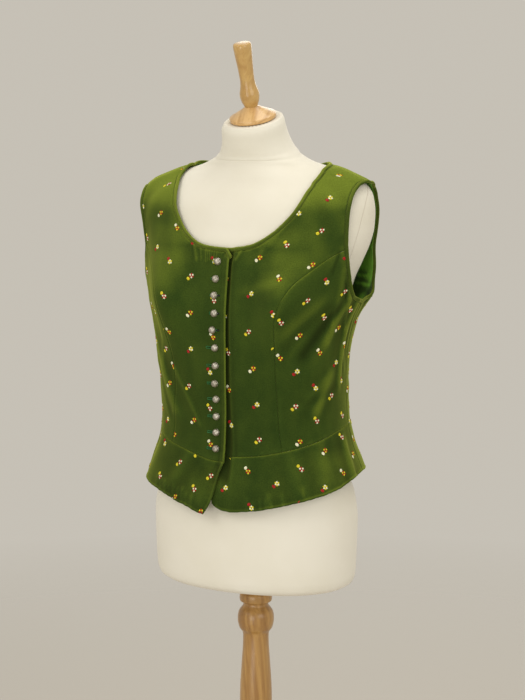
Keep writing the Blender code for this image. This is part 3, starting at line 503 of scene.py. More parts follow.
def steps(cells, crowd=0.6):
    """Shares from 0 to 1 that crowd towards both ends, where seams and edges are."""
    t = np.linspace(0, 1, cells + 1)
    return t - crowd * np.sin(math.tau * t) / math.tau


def patch(left, right, low, high):
    """Grid of places inside four border lines; its rows run from left to right."""
    def part_way(one, other):
        ways = []
        for line in (one, other):
            run = run_along(line * (PER_DEGREE, 1))
            ways.append(run / run[-1])
        return (ways[0] + ways[1]) / 2

    def bow(line, u):
        return line[None] - (1 - u) * line[0] - u * line[-1]

    u, v = part_way(low, high)[None, :, None], part_way(left, right)[:, None, None]
    grid = (1 - u) * left[:, None] + u * right[:, None]
    grid = grid + (1 - v) ** 3 * bow(low, u) + v ** 3 * bow(high, u)
    grid[0], grid[-1], grid[:, 0], grid[:, -1] = low, high, left, right
    return grid


def soft_step(value, start, end):
    t = np.clip((value - start) / (end - start), 0, 1)
    return t * t * (3 - 2 * t)


def lowered(places):
    """The right side's places: its waist seam runs lower towards the edge, its hem is
    straighter with a sharper corner, and its shoulder reaches further over the arm plate."""
    angle, z = places[..., 0], places[..., 1]
    drop = 0.008 * soft_step(angle, -26, -2) * hump(z, 0.942, 0.022)
    drop += hump(z, 0.885, 0.022) * (0.004 * hump(angle, -84, 13) - 0.0042 * hump(angle, -31, 13))
    drop += (0.0128 * soft_step(z, 1.332, 1.372) * (1 - soft_step(z, 1.374, 1.399))
             * soft_step(-angle, 58, 82) * (1 - soft_step(-angle, 108, 132)))
    out = (5.0 * hump(z, 1.345, 0.038)
           * soft_step(-angle, 40, 58) * (1 - soft_step(-angle, 66, 94)))
    return np.stack([angle - out, z - drop], -1)


def mirror(places):
    """Places on the wearer's right, where the fastened front is drawn a little aside."""
    angle, z = places[..., 0], places[..., 1]
    drawn = (3.0 * soft_step(angle, 14, 34) * (1 - soft_step(angle, 44, 76))
             * hump(z, 1.15, 0.07))
    return lowered(np.stack([-angle - drawn, z], -1))


def beside(places, line):
    """Each place's distance from a line on the cloth, and how far along it that is."""
    spots = line * (PER_DEGREE, 1)
    run = run_along(spots)
    gap = np.linalg.norm((places * (PER_DEGREE, 1))[..., None, :] - spots, axis=-1)
    return gap.min(-1), run[gap.argmin(-1)]


def pucker(run, seed):
    """Uneven small waves along a seam, about a centimetre long."""
    return (np.sin(run / 0.0019 + seed) + 0.8 * np.sin(run / 0.0031 + 2.3 * seed)
            + 0.9 * np.sin(run / 0.0053 + 4.1 * seed)) / 2.7


velvet_body = swell_of(VELVET_RINGS, 1.185, 0.027, 0.062)


def folded_body(angle, z):
    return (velvet_body(angle, z)
            + facing(velvet_body, angle, z) * fold_height(FOLDS, angle, z)[..., None])


def lay(places, out=0.0):
    """Points on the velvet's outer side, moved out by a height."""
    angle, z = places[..., 0], places[..., 1]
    out = np.broadcast_to(out, angle.shape)
    return folded_body(angle, z) + facing(folded_body, angle, z) * out[..., None]


def softened(field, cells=9, axes=(0, 1)):
    """A grid's values, each averaged with its neighbours'."""
    weights = np.hanning(2 * cells + 3)[1:-1] / np.hanning(2 * cells + 3).sum()
    for axis in axes:
        sides = [(cells, cells) if side == axis else (0, 0) for side in (0, 1)]
        field = np.apply_along_axis(np.convolve, axis, np.pad(field, sides, mode="edge"),
                                    weights, "valid")
    return field


def cloth_sheet(name, grids, relief, finish, thickness, out=0.0, shade=None):
    """A cut piece of cloth: grids of places that share edges, its relief, and its thickness.

    Its "pile" attribute holds painted light: high on ridges, for a painted highlight, and low
    in the hollows, for painted shade. A shade adds more painted light and shade to it.
    """
    points, faces, uv, pile_rows, start = [], [], [], [], 0
    for grid in grids:
        if grid[0, -1, 0] < grid[0, 0, 0]:
            grid = grid[:, ::-1]
        rows, columns = grid.shape[:2]
        flat = grid.reshape(-1, 2)
        points.append(lay(flat, relief(flat) + out))
        height = relief(flat) + fold_height(FOLDS, flat[:, 0], flat[:, 1])
        height = height.reshape(rows, columns)
        # painted light and shade: ridges above their softened surroundings are painted lighter,
        # hollows darker
        opening = ((height - softened(height)) / OPEN_RIDGE).ravel()
        opening += shade(flat) if shade else 0
        pile_rows.append(np.clip(opening, -1, 1))
        uv.append(flat * (PER_DEGREE, 1))
        ids = np.arange(rows * columns).reshape(rows, columns) + start
        faces += quads(ids)
        start += rows * columns
    piece = new_piece(name, np.concatenate(points), faces, [finish], np.concatenate(uv))
    opened = piece.data.attributes.new("pile", "FLOAT", "POINT")
    opened.data.foreach_set("value", np.concatenate(pile_rows))
    all_over(piece, bpy.ops.mesh.remove_doubles, threshold=0.00002)
    wall = piece.modifiers.new("wall", "SOLIDIFY")
    wall.thickness = thickness
    wall.offset = -1
    bpy.ops.object.modifier_apply(modifier="wall")
    soft = piece.modifiers.new("soft_edge", "BEVEL")
    soft.width = thickness * 0.36
    soft.segments = 2
    soft.limit_method = "ANGLE"
    soft.angle_limit = math.radians(55)
    bpy.ops.object.modifier_apply(modifier="soft_edge")
    return piece


satin, add = new_finish("green_satin")
on_cloth = add("TexCoord.UV")
shot = add("TexNoise.Fac", {"Vector": on_cloth, "Scale": 26, "Detail": 4})
tone = add("ValToRGB.Color", {"Fac": shot},
           ((0, (0.125, 0.33, 0.026)), (1, (0.21, 0.52, 0.048))))
twill = add("TexWave.Fac", {"Vector": on_cloth, "Scale": 520}, bands_direction="DIAGONAL")
# painted shade: the satin is darkened towards black where its "pile" attribute is high, in the
# shadows painted under the arm and between its folds
depth = add("MapRange.Result", {"Value": add("Attribute.Fac", attribute_name="pile"),
                                "To Max": 0.93})
tone = add("Mix.Result", {"Factor": depth, "A": tone, "B": (0.004, 0.018, 0.003)},
           data_type="RGBA")
weave = add("Bump.Normal", {"Height": twill, "Strength": 0.12, "Distance": 0.0002})
add("Shader.BSDF", {"Base Color": tone, "Normal": weave, "Roughness": 0.36,
                    "Sheen Weight": 0.3, "Sheen Tint": (0.5, 0.8, 0.2)})

back_side = route(SIDE_SEAM, steps(56))
back_arm = route(ARM_BACK, steps(60))
back_edge = np.concatenate([back_side, back_arm[1:]])
centre_back = route(CENTRE_BACK, steps(116))
shoulder_back = route(SHOULDER[::-1], steps(22))
back_neck = route(BACK_NECK, steps(36))
back_waist = route(WAIST_BACK, steps(58))
back_grid = patch(back_edge, centre_back, back_waist,
                  np.concatenate([shoulder_back, back_neck[1:]]))
far_half = mirror(back_grid)[:, ::-1] + (360.0, 0.0)

# angle and z of each end, height, width of the slack folds beside both armholes
SLACK = (
    (134, 1.218, 119, 1.2165, -0.0014, 0.0026), (133, 1.205, 117, 1.204, -0.0014, 0.0026),
    (140, 1.242, 120, 1.248, -0.0005, 0.003), (140, 1.264, 119, 1.272, -0.0005, 0.003))
# angle and z of each end, depth, width of the shadows between them
SHADOWS = (
    (140, 1.224, 126, 1.2235, 0.75, 0.0034), (136, 1.212, 121, 1.2105, 0.85, 0.003),
    (130.5, 1.213, 130, 1.196, 0.7, 0.008), (138, 1.192, 122, 1.196, 1.1, 0.007),
    (150, 1.23, 146, 1.18, 0.5, 0.03))


def lining_relief(places):
    """Slack folds across the lining behind the armholes."""
    return fold_height(SLACK, np.minimum(places[:, 0], 360 - places[:, 0]), places[:, 1])


def lining_shade(places):
    """Under the arm the lining lies in deep shade, most in the hollows between its folds."""
    side, z = np.minimum(places[:, 0], 360 - places[:, 0]), places[:, 1]
    return fold_height(SHADOWS, side, z) + 0.5 * (1 - soft_step(z, 1.205, 1.232))


lining = cloth_sheet("back_lining", [back_grid, far_half], lining_relief, satin, LINING,
                     -VELVET - SEAM_GAP, lining_shade)
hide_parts("lining_back")


# ---------------------------------------------------------------------------------------
# Back pieces. Two halves of cotton velvet on a firm interlining, seamed at the centre
# back, the sides and the shoulders, and bound at the armholes and the neck.
def pile(name, deep, light, open_pile, sheen, fleck=1.0):
    """Short cut velvet: dark where it hangs, painted lighter where it faces up and on ridges, and
    painted darker in hollows.
    """
    made, add = new_finish(name)
    on_cloth = add("TexCoord.UV")
    brushed = add("Mapping.Vector", {"Vector": on_cloth, "Scale": (1.6, 1, 1)})
    cloud = add("TexNoise.Fac", {"Vector": brushed, "Scale": 17, "Detail": 5, "Roughness": 0.55})
    marks = add("TexNoise.Fac", {"Vector": on_cloth, "Scale": 560 * fleck, "Detail": 2})
    # painted light: lighter where the velvet faces up, as if lit from above, and lighter on
    # ridges and darker in hollows as its "pile" attribute marks them
    upward = add("SeparateXYZ.Z", {"Vector": add("TexCoord.Normal")})
    slope = add("Math.Value", {0: cloud, 1: 0.22, 2: upward}, operation="MULTIPLY_ADD")
    opening = add("MapRange.Result", {"Value": slope, "From Min": 0.27, "From Max": 0.84},
                  interpolation_type="SMOOTHSTEP")
    ridge = add("Attribute.Fac", attribute_name="pile")
    risen = add("MapRange.Result", {"Value": ridge, "To Max": 0.65})
    sunk = add("MapRange.Result", {"Value": ridge, "From Max": -1.0, "To Max": 0.78})
    tone = add("ValToRGB.Color", {"Fac": cloud}, ((0.34, deep), (0.72, light)))
    for share, other in ((opening, open_pile), (risen, open_pile),
                         (sunk, [0.3 * part for part in deep])):
        tone = add("Mix.Result", {"Factor": share, "A": tone, "B": other}, data_type="RGBA")
    mottled = add("Mix.Result", {"Factor": 0.6, "A": tone, "B": marks},
                  data_type="RGBA", blend_type="SOFT_LIGHT")
    tufts = add("Bump.Normal", {"Height": marks, "Strength": 0.35, "Distance": 0.0004})
    add("Shader.BSDF", {"Base Color": mottled, "Normal": tufts, "Roughness": 0.95,
                        "Specular IOR Level": 0.1, "Sheen Weight": 1.0, "Sheen Roughness": 0.42,
                        "Sheen Tint": sheen})
    return made


def seamed(places, line, seed):
    """Relief by a plain seam: the cloth turns in, and puffs a little unevenly beside it."""
    gap, run = beside(places, line)
    puff = 0.00008 * (1 + 2.0 * pucker(run, seed))
    return puff * hump(gap, 0.0038, 0.0026) - 0.0005 * hump(gap, 0, 0.0012)


def bound(places, line, seed):
    """Relief beside a binding: pressed down by its stitching, with small gathers under it."""
    gap, run = beside(places, line)
    gather = 0.0003 * pucker(run, seed) * hump(gap, 0.0065, 0.005)
    return gather - 0.0008 * hump(gap, 0.0014, 0.0017)


def level(places):
    return np.zeros(places.shape[:-1])


def turned(places, line, seed, roll=0.0006, width=0.0095, depth=0.0004):
    """Relief of a turned edge: a soft roll, and the shallow channel where the turning ends."""
    gap, run = beside(places, line)
    roll = roll * hump(gap, 0.0016, 0.0018)
    roll += 0.00028 * pucker(run, seed) * hump(gap, 0.006, 0.006)
    return roll - depth * hump(gap, width, 0.0013)


# angle and z of each end, height, width of the small creases and dimples
CREASES = (
    (112, 1.196, 104, 1.15, 0.0014, 0.005), (-112, 1.196, -104, 1.148, 0.0012, 0.005),
    (134, 1.07, 106, 1.035, 0.0012, 0.007), (-132, 1.075, -107, 1.03, 0.0013, 0.007),
    (168, 1.02, 140, 1.005, 0.001, 0.0065), (-170, 1.026, -142, 1.006, 0.0009, 0.0065),
    (150, 1.31, 124, 1.34, 0.0011, 0.012), (-152, 1.306, -122, 1.336, 0.0012, 0.012),
    (172, 1.29, 160, 1.16, 0.001, 0.013), (-171, 1.24, -162, 1.13, 0.0009, 0.013))


def relief_of(seams, bindings):
    """Relief of a piece from its seams and bound edges, as pairs of a line and a seed."""
    def relief(places):
        total = fold_height(CREASES, places[..., 0], places[..., 1])
        for line, seed in seams:
            total = total + seamed(places, line, seed)
        for line, seed in bindings:
            total = total + bound(places, line, seed)
        return total
    return relief


# green velvet: deep and light tones, the painted highlight colour, and the sheen tint
green_velvet = pile("green_velvet", (0.025, 0.05, 0.0068), (0.042, 0.072, 0.0092),
                    (0.132, 0.178, 0.0175), (0.42, 0.47, 0.07))
panels = {}


def worn(places):
    """Painted light and shade: darker low on the front, and lighter high on the right and in a
    patch on the left chest.
    """
    angle, z = places[:, 0], places[:, 1]
    return (0.14 * soft_step(z, 1.28, 1.36) * soft_step(-angle, 0, 30)
            + 0.32 * np.exp(-((angle - 40) / 12) ** 2 - ((z - 1.264) / 0.022) ** 2)
            - 0.2 * (1 - soft_step(z, 1.03, 1.15)) * (1 - soft_step(np.abs(angle), 38, 60)))


def panel(name, node, grids, relief, shade=level):
    """A velvet piece in place of its solid, kept by name for what is sewn on it."""
    # the painted light and shade of the body, and of the piece itself
    piece = cloth_sheet(name, grids, relief, green_velvet, VELVET,
                        shade=lambda places: worn(places) + shade(places))
    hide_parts(node)
    panels[name] = relief, grids
    return piece


def plain(places):
    return places


SIDES = (("left", plain), ("right", mirror))
for side, fold in SIDES:
    relief = relief_of([(fold(back_side), 1.0), (fold(centre_back), 2.0),
                        (fold(shoulder_back), 3.0), (fold(back_waist), 4.0)],
                       [(fold(back_arm), 5.0), (fold(back_neck), 6.0)])
    panel(f"back_{side}_velvet", f"back_{side}", [fold(back_grid)], relief)


# ---------------------------------------------------------------------------------------
# Side front pieces. Each fills the space from the bust seam to the side seam under the
# armhole. It is cut longer than it looks and eases over the bust with soft folds.
BUST_SEAM = (
    (35, 0.9535), (34, 1.0095), (33.2, 1.048), (32.6, 1.086), (33, 1.125), (33.5, 1.17),
    (35, 1.195), (38, 1.218), (43.5, 1.237), (51.5, 1.256), (61.5, 1.269))
ARM_UNDER = ((61.5, 1.269), (64.8, 1.238), (70.5, 1.212), (79, 1.192), (97, 1.182))
WAIST_SIDE = ((35, 0.9535), (50, 0.9625), (65, 0.972), (80, 0.98), (100, 0.985))
CREASES += (
    (61, 1.252, 66.5, 1.154, 0.0012, 0.0065), (57.5, 1.263, 55, 1.236, -0.0011, 0.0034),
    (66, 1.216, 72, 1.185, -0.001, 0.0032), (71, 1.203, 83, 1.142, 0.0013, 0.0036),
    (83, 1.142, 92, 1.078, 0.001, 0.004), (92, 1.176, 93, 1.12, 0.001, 0.0055),
    (57, 1.175, 40, 1.121, -0.001, 0.009), (50, 1.03, 84, 1.055, -0.0007, 0.008),
    (66, 1.065, 48, 1.025, 0.0008, 0.007), (40, 1.145, 52, 1.185, 0.0006, 0.009),
    (-60, 1.25, -72, 1.202, 0.0012, 0.0045), (-40, 1.16, -46, 1.07, 0.0011, 0.007),
    (-50, 1.19, -44, 1.12, -0.001, 0.008), (-90, 1.17, -88, 1.1, 0.0012, 0.006),
    (-52, 1.05, -40, 0.99, 0.001, 0.007))

bust_seam = route(BUST_SEAM, steps(112))
arm_under = route(ARM_UNDER, steps(44))
waist_side = route(WAIST_SIDE, steps(44))
side_seam = route(SIDE_SEAM, steps(112))
side_grid = patch(bust_seam, side_seam, waist_side, arm_under)

for side, fold in SIDES:
    relief = relief_of([(fold(bust_seam), 7.0), (fold(side_seam), 1.0), (fold(waist_side), 4.0)],
                       [(fold(arm_under), 5.0)])
    panel(f"side_front_{side}_velvet", f"side_front_{side}", [fold(side_grid)], relief)


# ---------------------------------------------------------------------------------------
# Front pieces. Each runs from the shoulder to the waist and is faced at the closure. The
# right front laps over the left one and has its top corner cut off. The left front lies
# flat under it and comes up beside its edge.
NECKLINE_RIGHT = (
    (14.5, 1.2735), (20, 1.285), (25, 1.301), (29.4, 1.323), (33.5, 1.346), (39.5, 1.3635),
    (47, 1.3745), (54.5, 1.382), (62, 1.3895), (68, 1.395), (76, 1.3985), (86, 1.3998),
    (96, 1.4))
NECKLINE_LEFT = (
    (14.5, 1.2735), (20, 1.285), (25, 1.301), (30, 1.323), (33, 1.34), (36, 1.355), (40, 1.365),
    (44, 1.372), (51, 1.378), (59, 1.384), (66, 1.39), (73, 1.394), (81, 1.397), (96, 1.4))
ARM_FRONT = (
    (61.5, 1.269), (58.7, 1.297), (57.4, 1.325), (59.6, 1.346), (63.8, 1.36), (71, 1.37),
    (79, 1.3745), (87, 1.3758), (96, 1.375))
WAIST_FRONT = ((22, 0.9465), (35, 0.9535))
EDGE_X, UNDERLAP_X, STRIP_X = 0.01, -0.018, 0.036
UNDERLAP_DEPTH = VELVET + 0.0014
CREASES += (
    (-15.5, 1.272, -13.8, 1.25, 0.0014, 0.0022), (-12, 1.266, -11.3, 1.25, 0.001, 0.0012),
    (-9.3, 1.266, -8.8, 1.248, 0.0013, 0.0011), (-8.2, 1.2655, -7.8, 1.249, 0.0012, 0.001),
    (-7.1, 1.265, -6.8, 1.25, 0.0014, 0.001), (-6, 1.265, -5.8, 1.25, 0.0011, 0.001),
    (-4.8, 1.265, -4.7, 1.252, 0.0012, 0.001), (-3.4, 1.265, -3.4, 1.25, 0.0009, 0.0011),
    (20, 1.286, 18, 1.26, 0.0008, 0.0035), (26, 1.305, 22, 1.276, 0.0007, 0.004),
    (9.3, 1.269, 6.6, 1.252, 0.0012, 0.002), (44, 1.36, 56, 1.31, 0.0007, 0.012),
    (34, 1.335, 46, 1.27, 0.0007, 0.014), (-44, 1.36, -56, 1.3, 0.001, 0.012),
    (-30, 1.31, -24, 1.24, 0.001, 0.013), (14, 1.205, 28, 1.215, 0.0009, 0.01),
    (-33, 1.075, -14.5, 0.99, 0.0011, 0.0045))


def degrees_aside(x, z):
    """Degrees round the body of the place that lies x beside the centre front."""
    return np.degrees(np.arcsin(x / read_table(velvet_table, z)[..., 0]))


def strip(xs, low, high, shares):
    """Grid beside the centre front whose columns keep their distance from it."""
    x = np.asarray(xs)[None, :]
    z = low(x) + (high(x) - low(x)) * shares[:, None]
    return np.stack([degrees_aside(x, z), z], -1)


def neck_height(x):
    return 1.266 + 0.0032 * (x / STRIP_X) ** 2


def right_neck_height(x):
    return neck_height(x) - 0.012 * np.clip((x - 0.001) / (EDGE_X - 0.001), 0, 1)


def waist_height(x):
    return 0.942 + 0.0018 * (x / STRIP_X) ** 2


def edge_at(z):
    """How far beside the centre the right front's edge lies, most over the bust."""
    return EDGE_X + 0.0024 * soft_step(z, 1.03, 1.2)


def metres_aside(places):
    return read_table(velvet_table, places[..., 1])[..., 0] * np.sin(np.radians(places[..., 0]))


def underlap(places):
    """How far the left front sinks under the right one, and rises beside its edge."""
    x, z = metres_aside(places), places[..., 1]
    wider = 0.003 * soft_step(z, 1.24, 1.266) + 0.0045 * (1 - soft_step(z, 0.95, 1.06))
    return -UNDERLAP_DEPTH * (1 - soft_step(x, edge_at(z) + 0.0005 + 0.6 * wider, 0.0185 + wider))


def trough_shade(places):
    """Painted shade in the hollow beside the right front's edge, and on its border, where it
    takes away the painted highlight of the ridge.
    """
    x, z = metres_aside(places), places[..., 1]
    low = 0.006 * (1 - soft_step(z, 0.93, 1.05))
    start = edge_at(z) + 0.0012 + low
    dark = 1 - soft_step(x, start, start + 0.004 + 0.6 * low - 0.0012 * soft_step(z, 1.1, 1.2))
    border = hump(x - 0.0195, 1.2 * low, 0.0045)
    return -1.3 * dark - 0.45 * border


def edge_shine(places):
    """Painted highlight along the right front's rolled edge."""
    x, z = metres_aside(places), places[..., 1]
    return 0.9 * hump(x - edge_at(z), -0.0016, 0.0017) * soft_step(z, 0.93, 0.95)


def edge_lift(places):
    """How far the right front's edge stands off the left front, most at the waist."""
    z = places[..., 1]
    low = 1 - soft_step(z, 0.945, 1.03)
    return (0.0024 + 0.0016 * low) * soft_step(metres_aside(places), -0.0035, edge_at(z) + 0.001)


velvet_table = smooth_table(VELVET_RINGS)
low_shares, neck_shares = steps(112), steps(48)
inner = strip([STRIP_X], waist_height, neck_height, low_shares)[:, 0]
arm_front = route(ARM_FRONT, neck_shares)
waist_front = route((tuple(inner[0]),) + WAIST_FRONT, steps(56))
shoulder_front = route(SHOULDER, steps(56))


def front_patch(neckline):
    """The neck line of a front piece, and its grid beyond the strip beside the centre."""
    neck = route((tuple(inner[-1]),) + neckline, neck_shares)
    return neck, patch(np.concatenate([inner, neck[1:]]),
                       np.concatenate([bust_seam, arm_front[1:]]), waist_front, shoulder_front)


left_neck, left_grid = front_patch(NECKLINE_LEFT)
right_neck, right_grid = (mirror(made) for made in front_patch(NECKLINE_RIGHT))
right_xs = np.concatenate([EDGE_X - np.array([0, 0.5, 1.2, 2.2, 3.4, 4.8, 6.4]) / 1000,
                           np.linspace(0.0028, -STRIP_X, 37)])
left_xs = np.concatenate([np.linspace(UNDERLAP_X, 0.008, 10), np.linspace(0.009, 0.028, 24),
                          np.linspace(0.0295, STRIP_X, 5)])
right_strip = strip(right_xs, waist_height, right_neck_height, low_shares)
strip_x, strip_z = metres_aside(right_strip), right_strip[..., 1]
bowed_x = strip_x + (edge_at(strip_z) - EDGE_X) * soft_step(strip_x, -0.03, 0.0)
right_strip = lowered(np.stack([degrees_aside(bowed_x, strip_z), strip_z], -1))
left_strip = strip(left_xs, waist_height, neck_height, low_shares)


def front_relief(fold, strip_grid, neck):
    """Relief of a front piece, with the turned edge of its strip beside the centre."""
    sewn = relief_of([(fold(bust_seam), 7.0), (fold(shoulder_front), 3.0),
                      (np.concatenate([strip_grid[0], fold(waist_front)]), 4.0)],
                     [(fold(arm_front), 5.0), (np.concatenate([strip_grid[-1], neck]), 6.0)])
    edge = strip_grid[:, 0]
    return lambda places: sewn(places) + turned(places, edge, 8.0, 0.001, 0.011, 0.0003)


right_sewn = front_relief(mirror, right_strip, right_neck)
left_sewn = front_relief(plain, left_strip, left_neck)


def front_relief_right(places):
    return right_sewn(places) + edge_lift(places)


def front_relief_left(places):
    return underlap(places) + np.where(places[..., 0] > 2.0, left_sewn(places), 0.0)


panel("front_right_velvet", "front_right", [right_strip, right_grid], front_relief_right,
      edge_shine)
panel("front_left_velvet", "front_left", [left_strip, left_grid], front_relief_left,
      trough_shade)


# ---------------------------------------------------------------------------------------
# Skirt pieces. Four shaped pieces below the waist seam, joined at the sides and the
# centre back, that flare over the hips. The hem is turned up and caught by hand, so it
# puckers softly. The right front corner is pointed and stands off, the left is rounded.
HEM_FRONT = ((22, 0.8635), (36, 0.8738), (50, 0.8835), (66, 0.894), (82, 0.905), (100, 0.9105))
HEM_BACK = ((100, 0.9105), (140, 0.906), (180, 0.902))
SKIRT_SIDE = ((100, 0.9105), (100, 0.985))
SKIRT_BACK = ((180, 0.902), (180, 0.988))
RIGHT_SKIRT_EDGE = ((4.9, 0.85), (1.5, 0.8745), (-0.3, 0.913), (-2, 0.933), (-3.5, 0.942))
RIGHT_HEM = ((4.9, 0.85), (9, 0.853), (15, 0.859))
LEFT_SKIRT_EDGE = ((-2.2, 0.868), (-3.2, 0.885), (-5.5, 0.918), (-6.4, 0.942))
LEFT_HEM = ((-2.2, 0.868), (1, 0.861), (6, 0.8572), (13, 0.859))
WAIST_START = ((4, 0.9421), (12.8, 0.9438))
CREASES += (
    (-18, 0.864, -19, 0.883, 0.0012, 0.003), (-24, 0.868, -25, 0.886, 0.001, 0.003),
    (-30, 0.872, -32, 0.89, 0.0012, 0.0032), (-38, 0.878, -39, 0.896, 0.0009, 0.0032),
    (-12, 0.856, -12.5, 0.874, 0.0008, 0.0028), (-15.5, 0.86, -16.2, 0.876, 0.0009, 0.0024),
    (-21, 0.865, -22, 0.883, 0.001, 0.0024), (-27, 0.87, -28.5, 0.886, 0.0008, 0.0024),
    (-34, 0.875, -35.5, 0.893, 0.001, 0.0026), (19, 0.862, 18.6, 0.874, 0.0009, 0.0024),
    (22, 0.864, 21.6, 0.877, 0.0009, 0.0024), (25, 0.866, 24.4, 0.878, 0.0007, 0.0022),
    (16, 0.862, 15.5, 0.878, 0.0007, 0.003), (27, 0.868, 26, 0.885, 0.001, 0.003),
    (33, 0.872, 32.5, 0.887, 0.0008, 0.0028), (44, 0.88, 43, 0.896, 0.0007, 0.0032),
    (60, 0.96, 58, 0.91, 0.0012, 0.013), (-58, 0.955, -62, 0.905, 0.0014, 0.012),
    (40, 0.94, 42, 0.895, 0.001, 0.014), (-20, 0.938, -26, 0.9, 0.001, 0.01),
    (120, 0.98, 118, 0.92, 0.0012, 0.012), (-122, 0.98, -120, 0.92, 0.0013, 0.012),
    (170, 0.978, 168, 0.915, 0.001, 0.012), (-165, 0.976, -167, 0.918, 0.0011, 0.012))


def skirt_shade(sign):
    """Painted light on the skirts: the right one painted darker all over, with the painted
    highlight of its edge; on the left one the painted shade of the trough fades out down its
    edge, and it is painted darker towards the side.
    """
    def shade(places):
        if sign < 0:
            return edge_shine(places) - 0.14
        return (0.6 * trough_shade(places) * soft_step(places[..., 1], 0.868, 0.94)
                - 0.26 * soft_step(places[..., 0], 58, 84))
    return shade


def skirt_front(edge, hem):
    shares = steps(96, 0.4) ** 1.15
    top = route((edge[-1],) + WAIST_START + WAIST_FRONT[:1] + WAIST_SIDE, shares)
    low = route(hem + HEM_FRONT, shares)
    low[1:-1, 1] += 0.0005 * pucker(low[1:-1, 0] * PER_DEGREE, 12.0)
    return patch(route(edge, steps(34)), route(SKIRT_SIDE, steps(34)), low, top)


def skirt_relief(grid, side, back=False):
    """Relief of a skirt piece from its own grid's borders, with its lift at the front."""
    low, top, start, end = grid[0], grid[-1], grid[:, 0], grid[:, -1]

    def relief(places):
        total = fold_height(CREASES, places[..., 0], places[..., 1])
        total = total + seamed(places, top, 4.0) + seamed(places, end, 9.0)
        total = total + turned(places, low, 10.0, 0.0007, 0.015, 0.0)
        if back:
            return total + seamed(places, start, 9.0)
        total = total + turned(places, start, 8.0, 0.0009, 0.011, 0.0002)
        x, z = metres_aside(places), places[..., 1]
        if side > 0:
            return np.where(x > 0, total, 0) + underlap(places) * soft_step(z, 0.885, 0.925)
        lift = 0.007 * (1 - soft_step(z, 0.85, 0.935)) * (1 - soft_step(-x, 0.022, 0.09))
        return total + lift + edge_lift(places)
    return relief


skirt_back_grid = patch(route(SKIRT_SIDE, steps(34)), route(SKIRT_BACK, steps(34)),
                        route(HEM_BACK, steps(56)), route(WAIST_BACK, steps(56)))
skirts = {"right": mirror(skirt_front(RIGHT_SKIRT_EDGE, RIGHT_HEM)),
          "left": skirt_front(LEFT_SKIRT_EDGE, LEFT_HEM)}
for side, sign in (("right", -1), ("left", 1)):
    panel(f"skirt_front_{side}_velvet", f"peplum_front_{side}", [skirts[side]],
          skirt_relief(skirts[side], sign), skirt_shade(sign))
    grid = mirror(skirt_back_grid) if sign < 0 else skirt_back_grid
    panel(f"skirt_back_{side}_velvet", f"peplum_back_{side}", [grid],
          skirt_relief(grid, sign, True))


# ---------------------------------------------------------------------------------------
# Bindings. Bias strips of the same velvet, rolled over the raw edges of the neck and the
# armholes and stitched down. Their colours are painted lighter, a painted sheen, most at the
# neck.
BINDING_WIDTH, BINDING_THICK, BINDING_RAISE, BINDING_WRAP = 0.0064, 0.0044, 0.0004, 0.0014

# the same velvet painted lighter, a painted sheen: the neck's binding lighter than the armholes'
edge_velvet = pile("bias_velvet", (0.052, 0.082, 0.0105), (0.088, 0.122, 0.015),
                   (0.14, 0.18, 0.019), (0.55, 0.6, 0.1), 1.3)
arm_velvet = pile("armhole_velvet", (0.036, 0.062, 0.008), (0.06, 0.088, 0.011),
                  (0.105, 0.142, 0.015), (0.44, 0.49, 0.08), 1.3)


def roll_edge(name, spots, outs, hole, finish):
    """A rolled strip along points of an edge, on the side of them that faces the hole."""
    along = np.gradient(spots, axis=0)
    aside = unit(np.cross(outs, along))
    aside *= np.sign(((hole - spots) * aside).sum(1))[:, None]
    # the strip bends round tight corners gradually
    aside, outs = (unit(softened(rows, 6, (0,))) for rows in (aside, outs))
    run = run_along(spots)
    centre = spots + aside * (BINDING_WIDTH / 2 - BINDING_WRAP)
    centre -= outs * (VELVET / 2 - BINDING_RAISE)
    corners = 12
    turns = math.tau * (np.arange(corners) + 0.5) / corners
    plump = 1 + 0.05 * pucker(run, 11.0)[:, None, None]
    ring = (centre[:, None]
            + aside[:, None] * (np.cos(turns) * BINDING_WIDTH / 2)[:, None] * plump
            + outs[:, None] * (np.sin(turns) * BINDING_THICK / 2)[:, None] * plump)
    count = len(ring)
    ids = np.arange(count * corners).reshape(count, corners)
    faces = quads(ids, closed=True) + [ids[0].tolist(), ids[-1].tolist()]
    uv = np.stack([np.repeat(run, corners), np.tile(turns * 0.002, count)], -1)
    piece = new_piece(name, ring.reshape(-1, 3), faces, [finish], uv)
    all_over(piece, bpy.ops.mesh.normals_make_consistent, inside=False)
    return piece


def edge_points(lines):
    """Points and outward directions along lines given with their reliefs, end to end."""
    spots, outs = [], []
    for line, relief in lines:
        spots.append(lay(line, relief(line)))
        outs.append(facing(folded_body, line[:, 0], line[:, 1]))
    return np.concatenate(spots), np.concatenate(outs)


def neck_tuck(places):
    """The binding of the left front sinks a little more where the right corner covers it."""
    return underlap(places) - 0.0012 * (1 - soft_step(metres_aside(places), 0.008, 0.016))


neck_lines = [(right_strip[-1], edge_lift), (right_neck[1:], level),
              (mirror(back_neck[1:-1]), level), (back_neck[::-1][:-1], level),
              (left_neck[::-1][:-1], level),
              (left_strip[-1][left_xs > -0.006][::-1], neck_tuck)]
neck_spots, neck_outs = edge_points(neck_lines)
neck_middle = np.array([0, -0.01, 1.37])
neck_roll = roll_edge("neck_binding", neck_spots, neck_outs, neck_middle, edge_velvet)
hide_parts("neck_piping")
arm_loop = np.concatenate([arm_under[::-1], arm_front[1:], back_arm[::-1][1:]])
for side, fold in SIDES:
    spots, outs = edge_points([(fold(arm_loop), level)])
    arm_roll = roll_edge(f"armhole_binding_{side}", spots, outs, spots.mean(0), arm_velvet)
    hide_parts(f"armhole_piping_{side}")


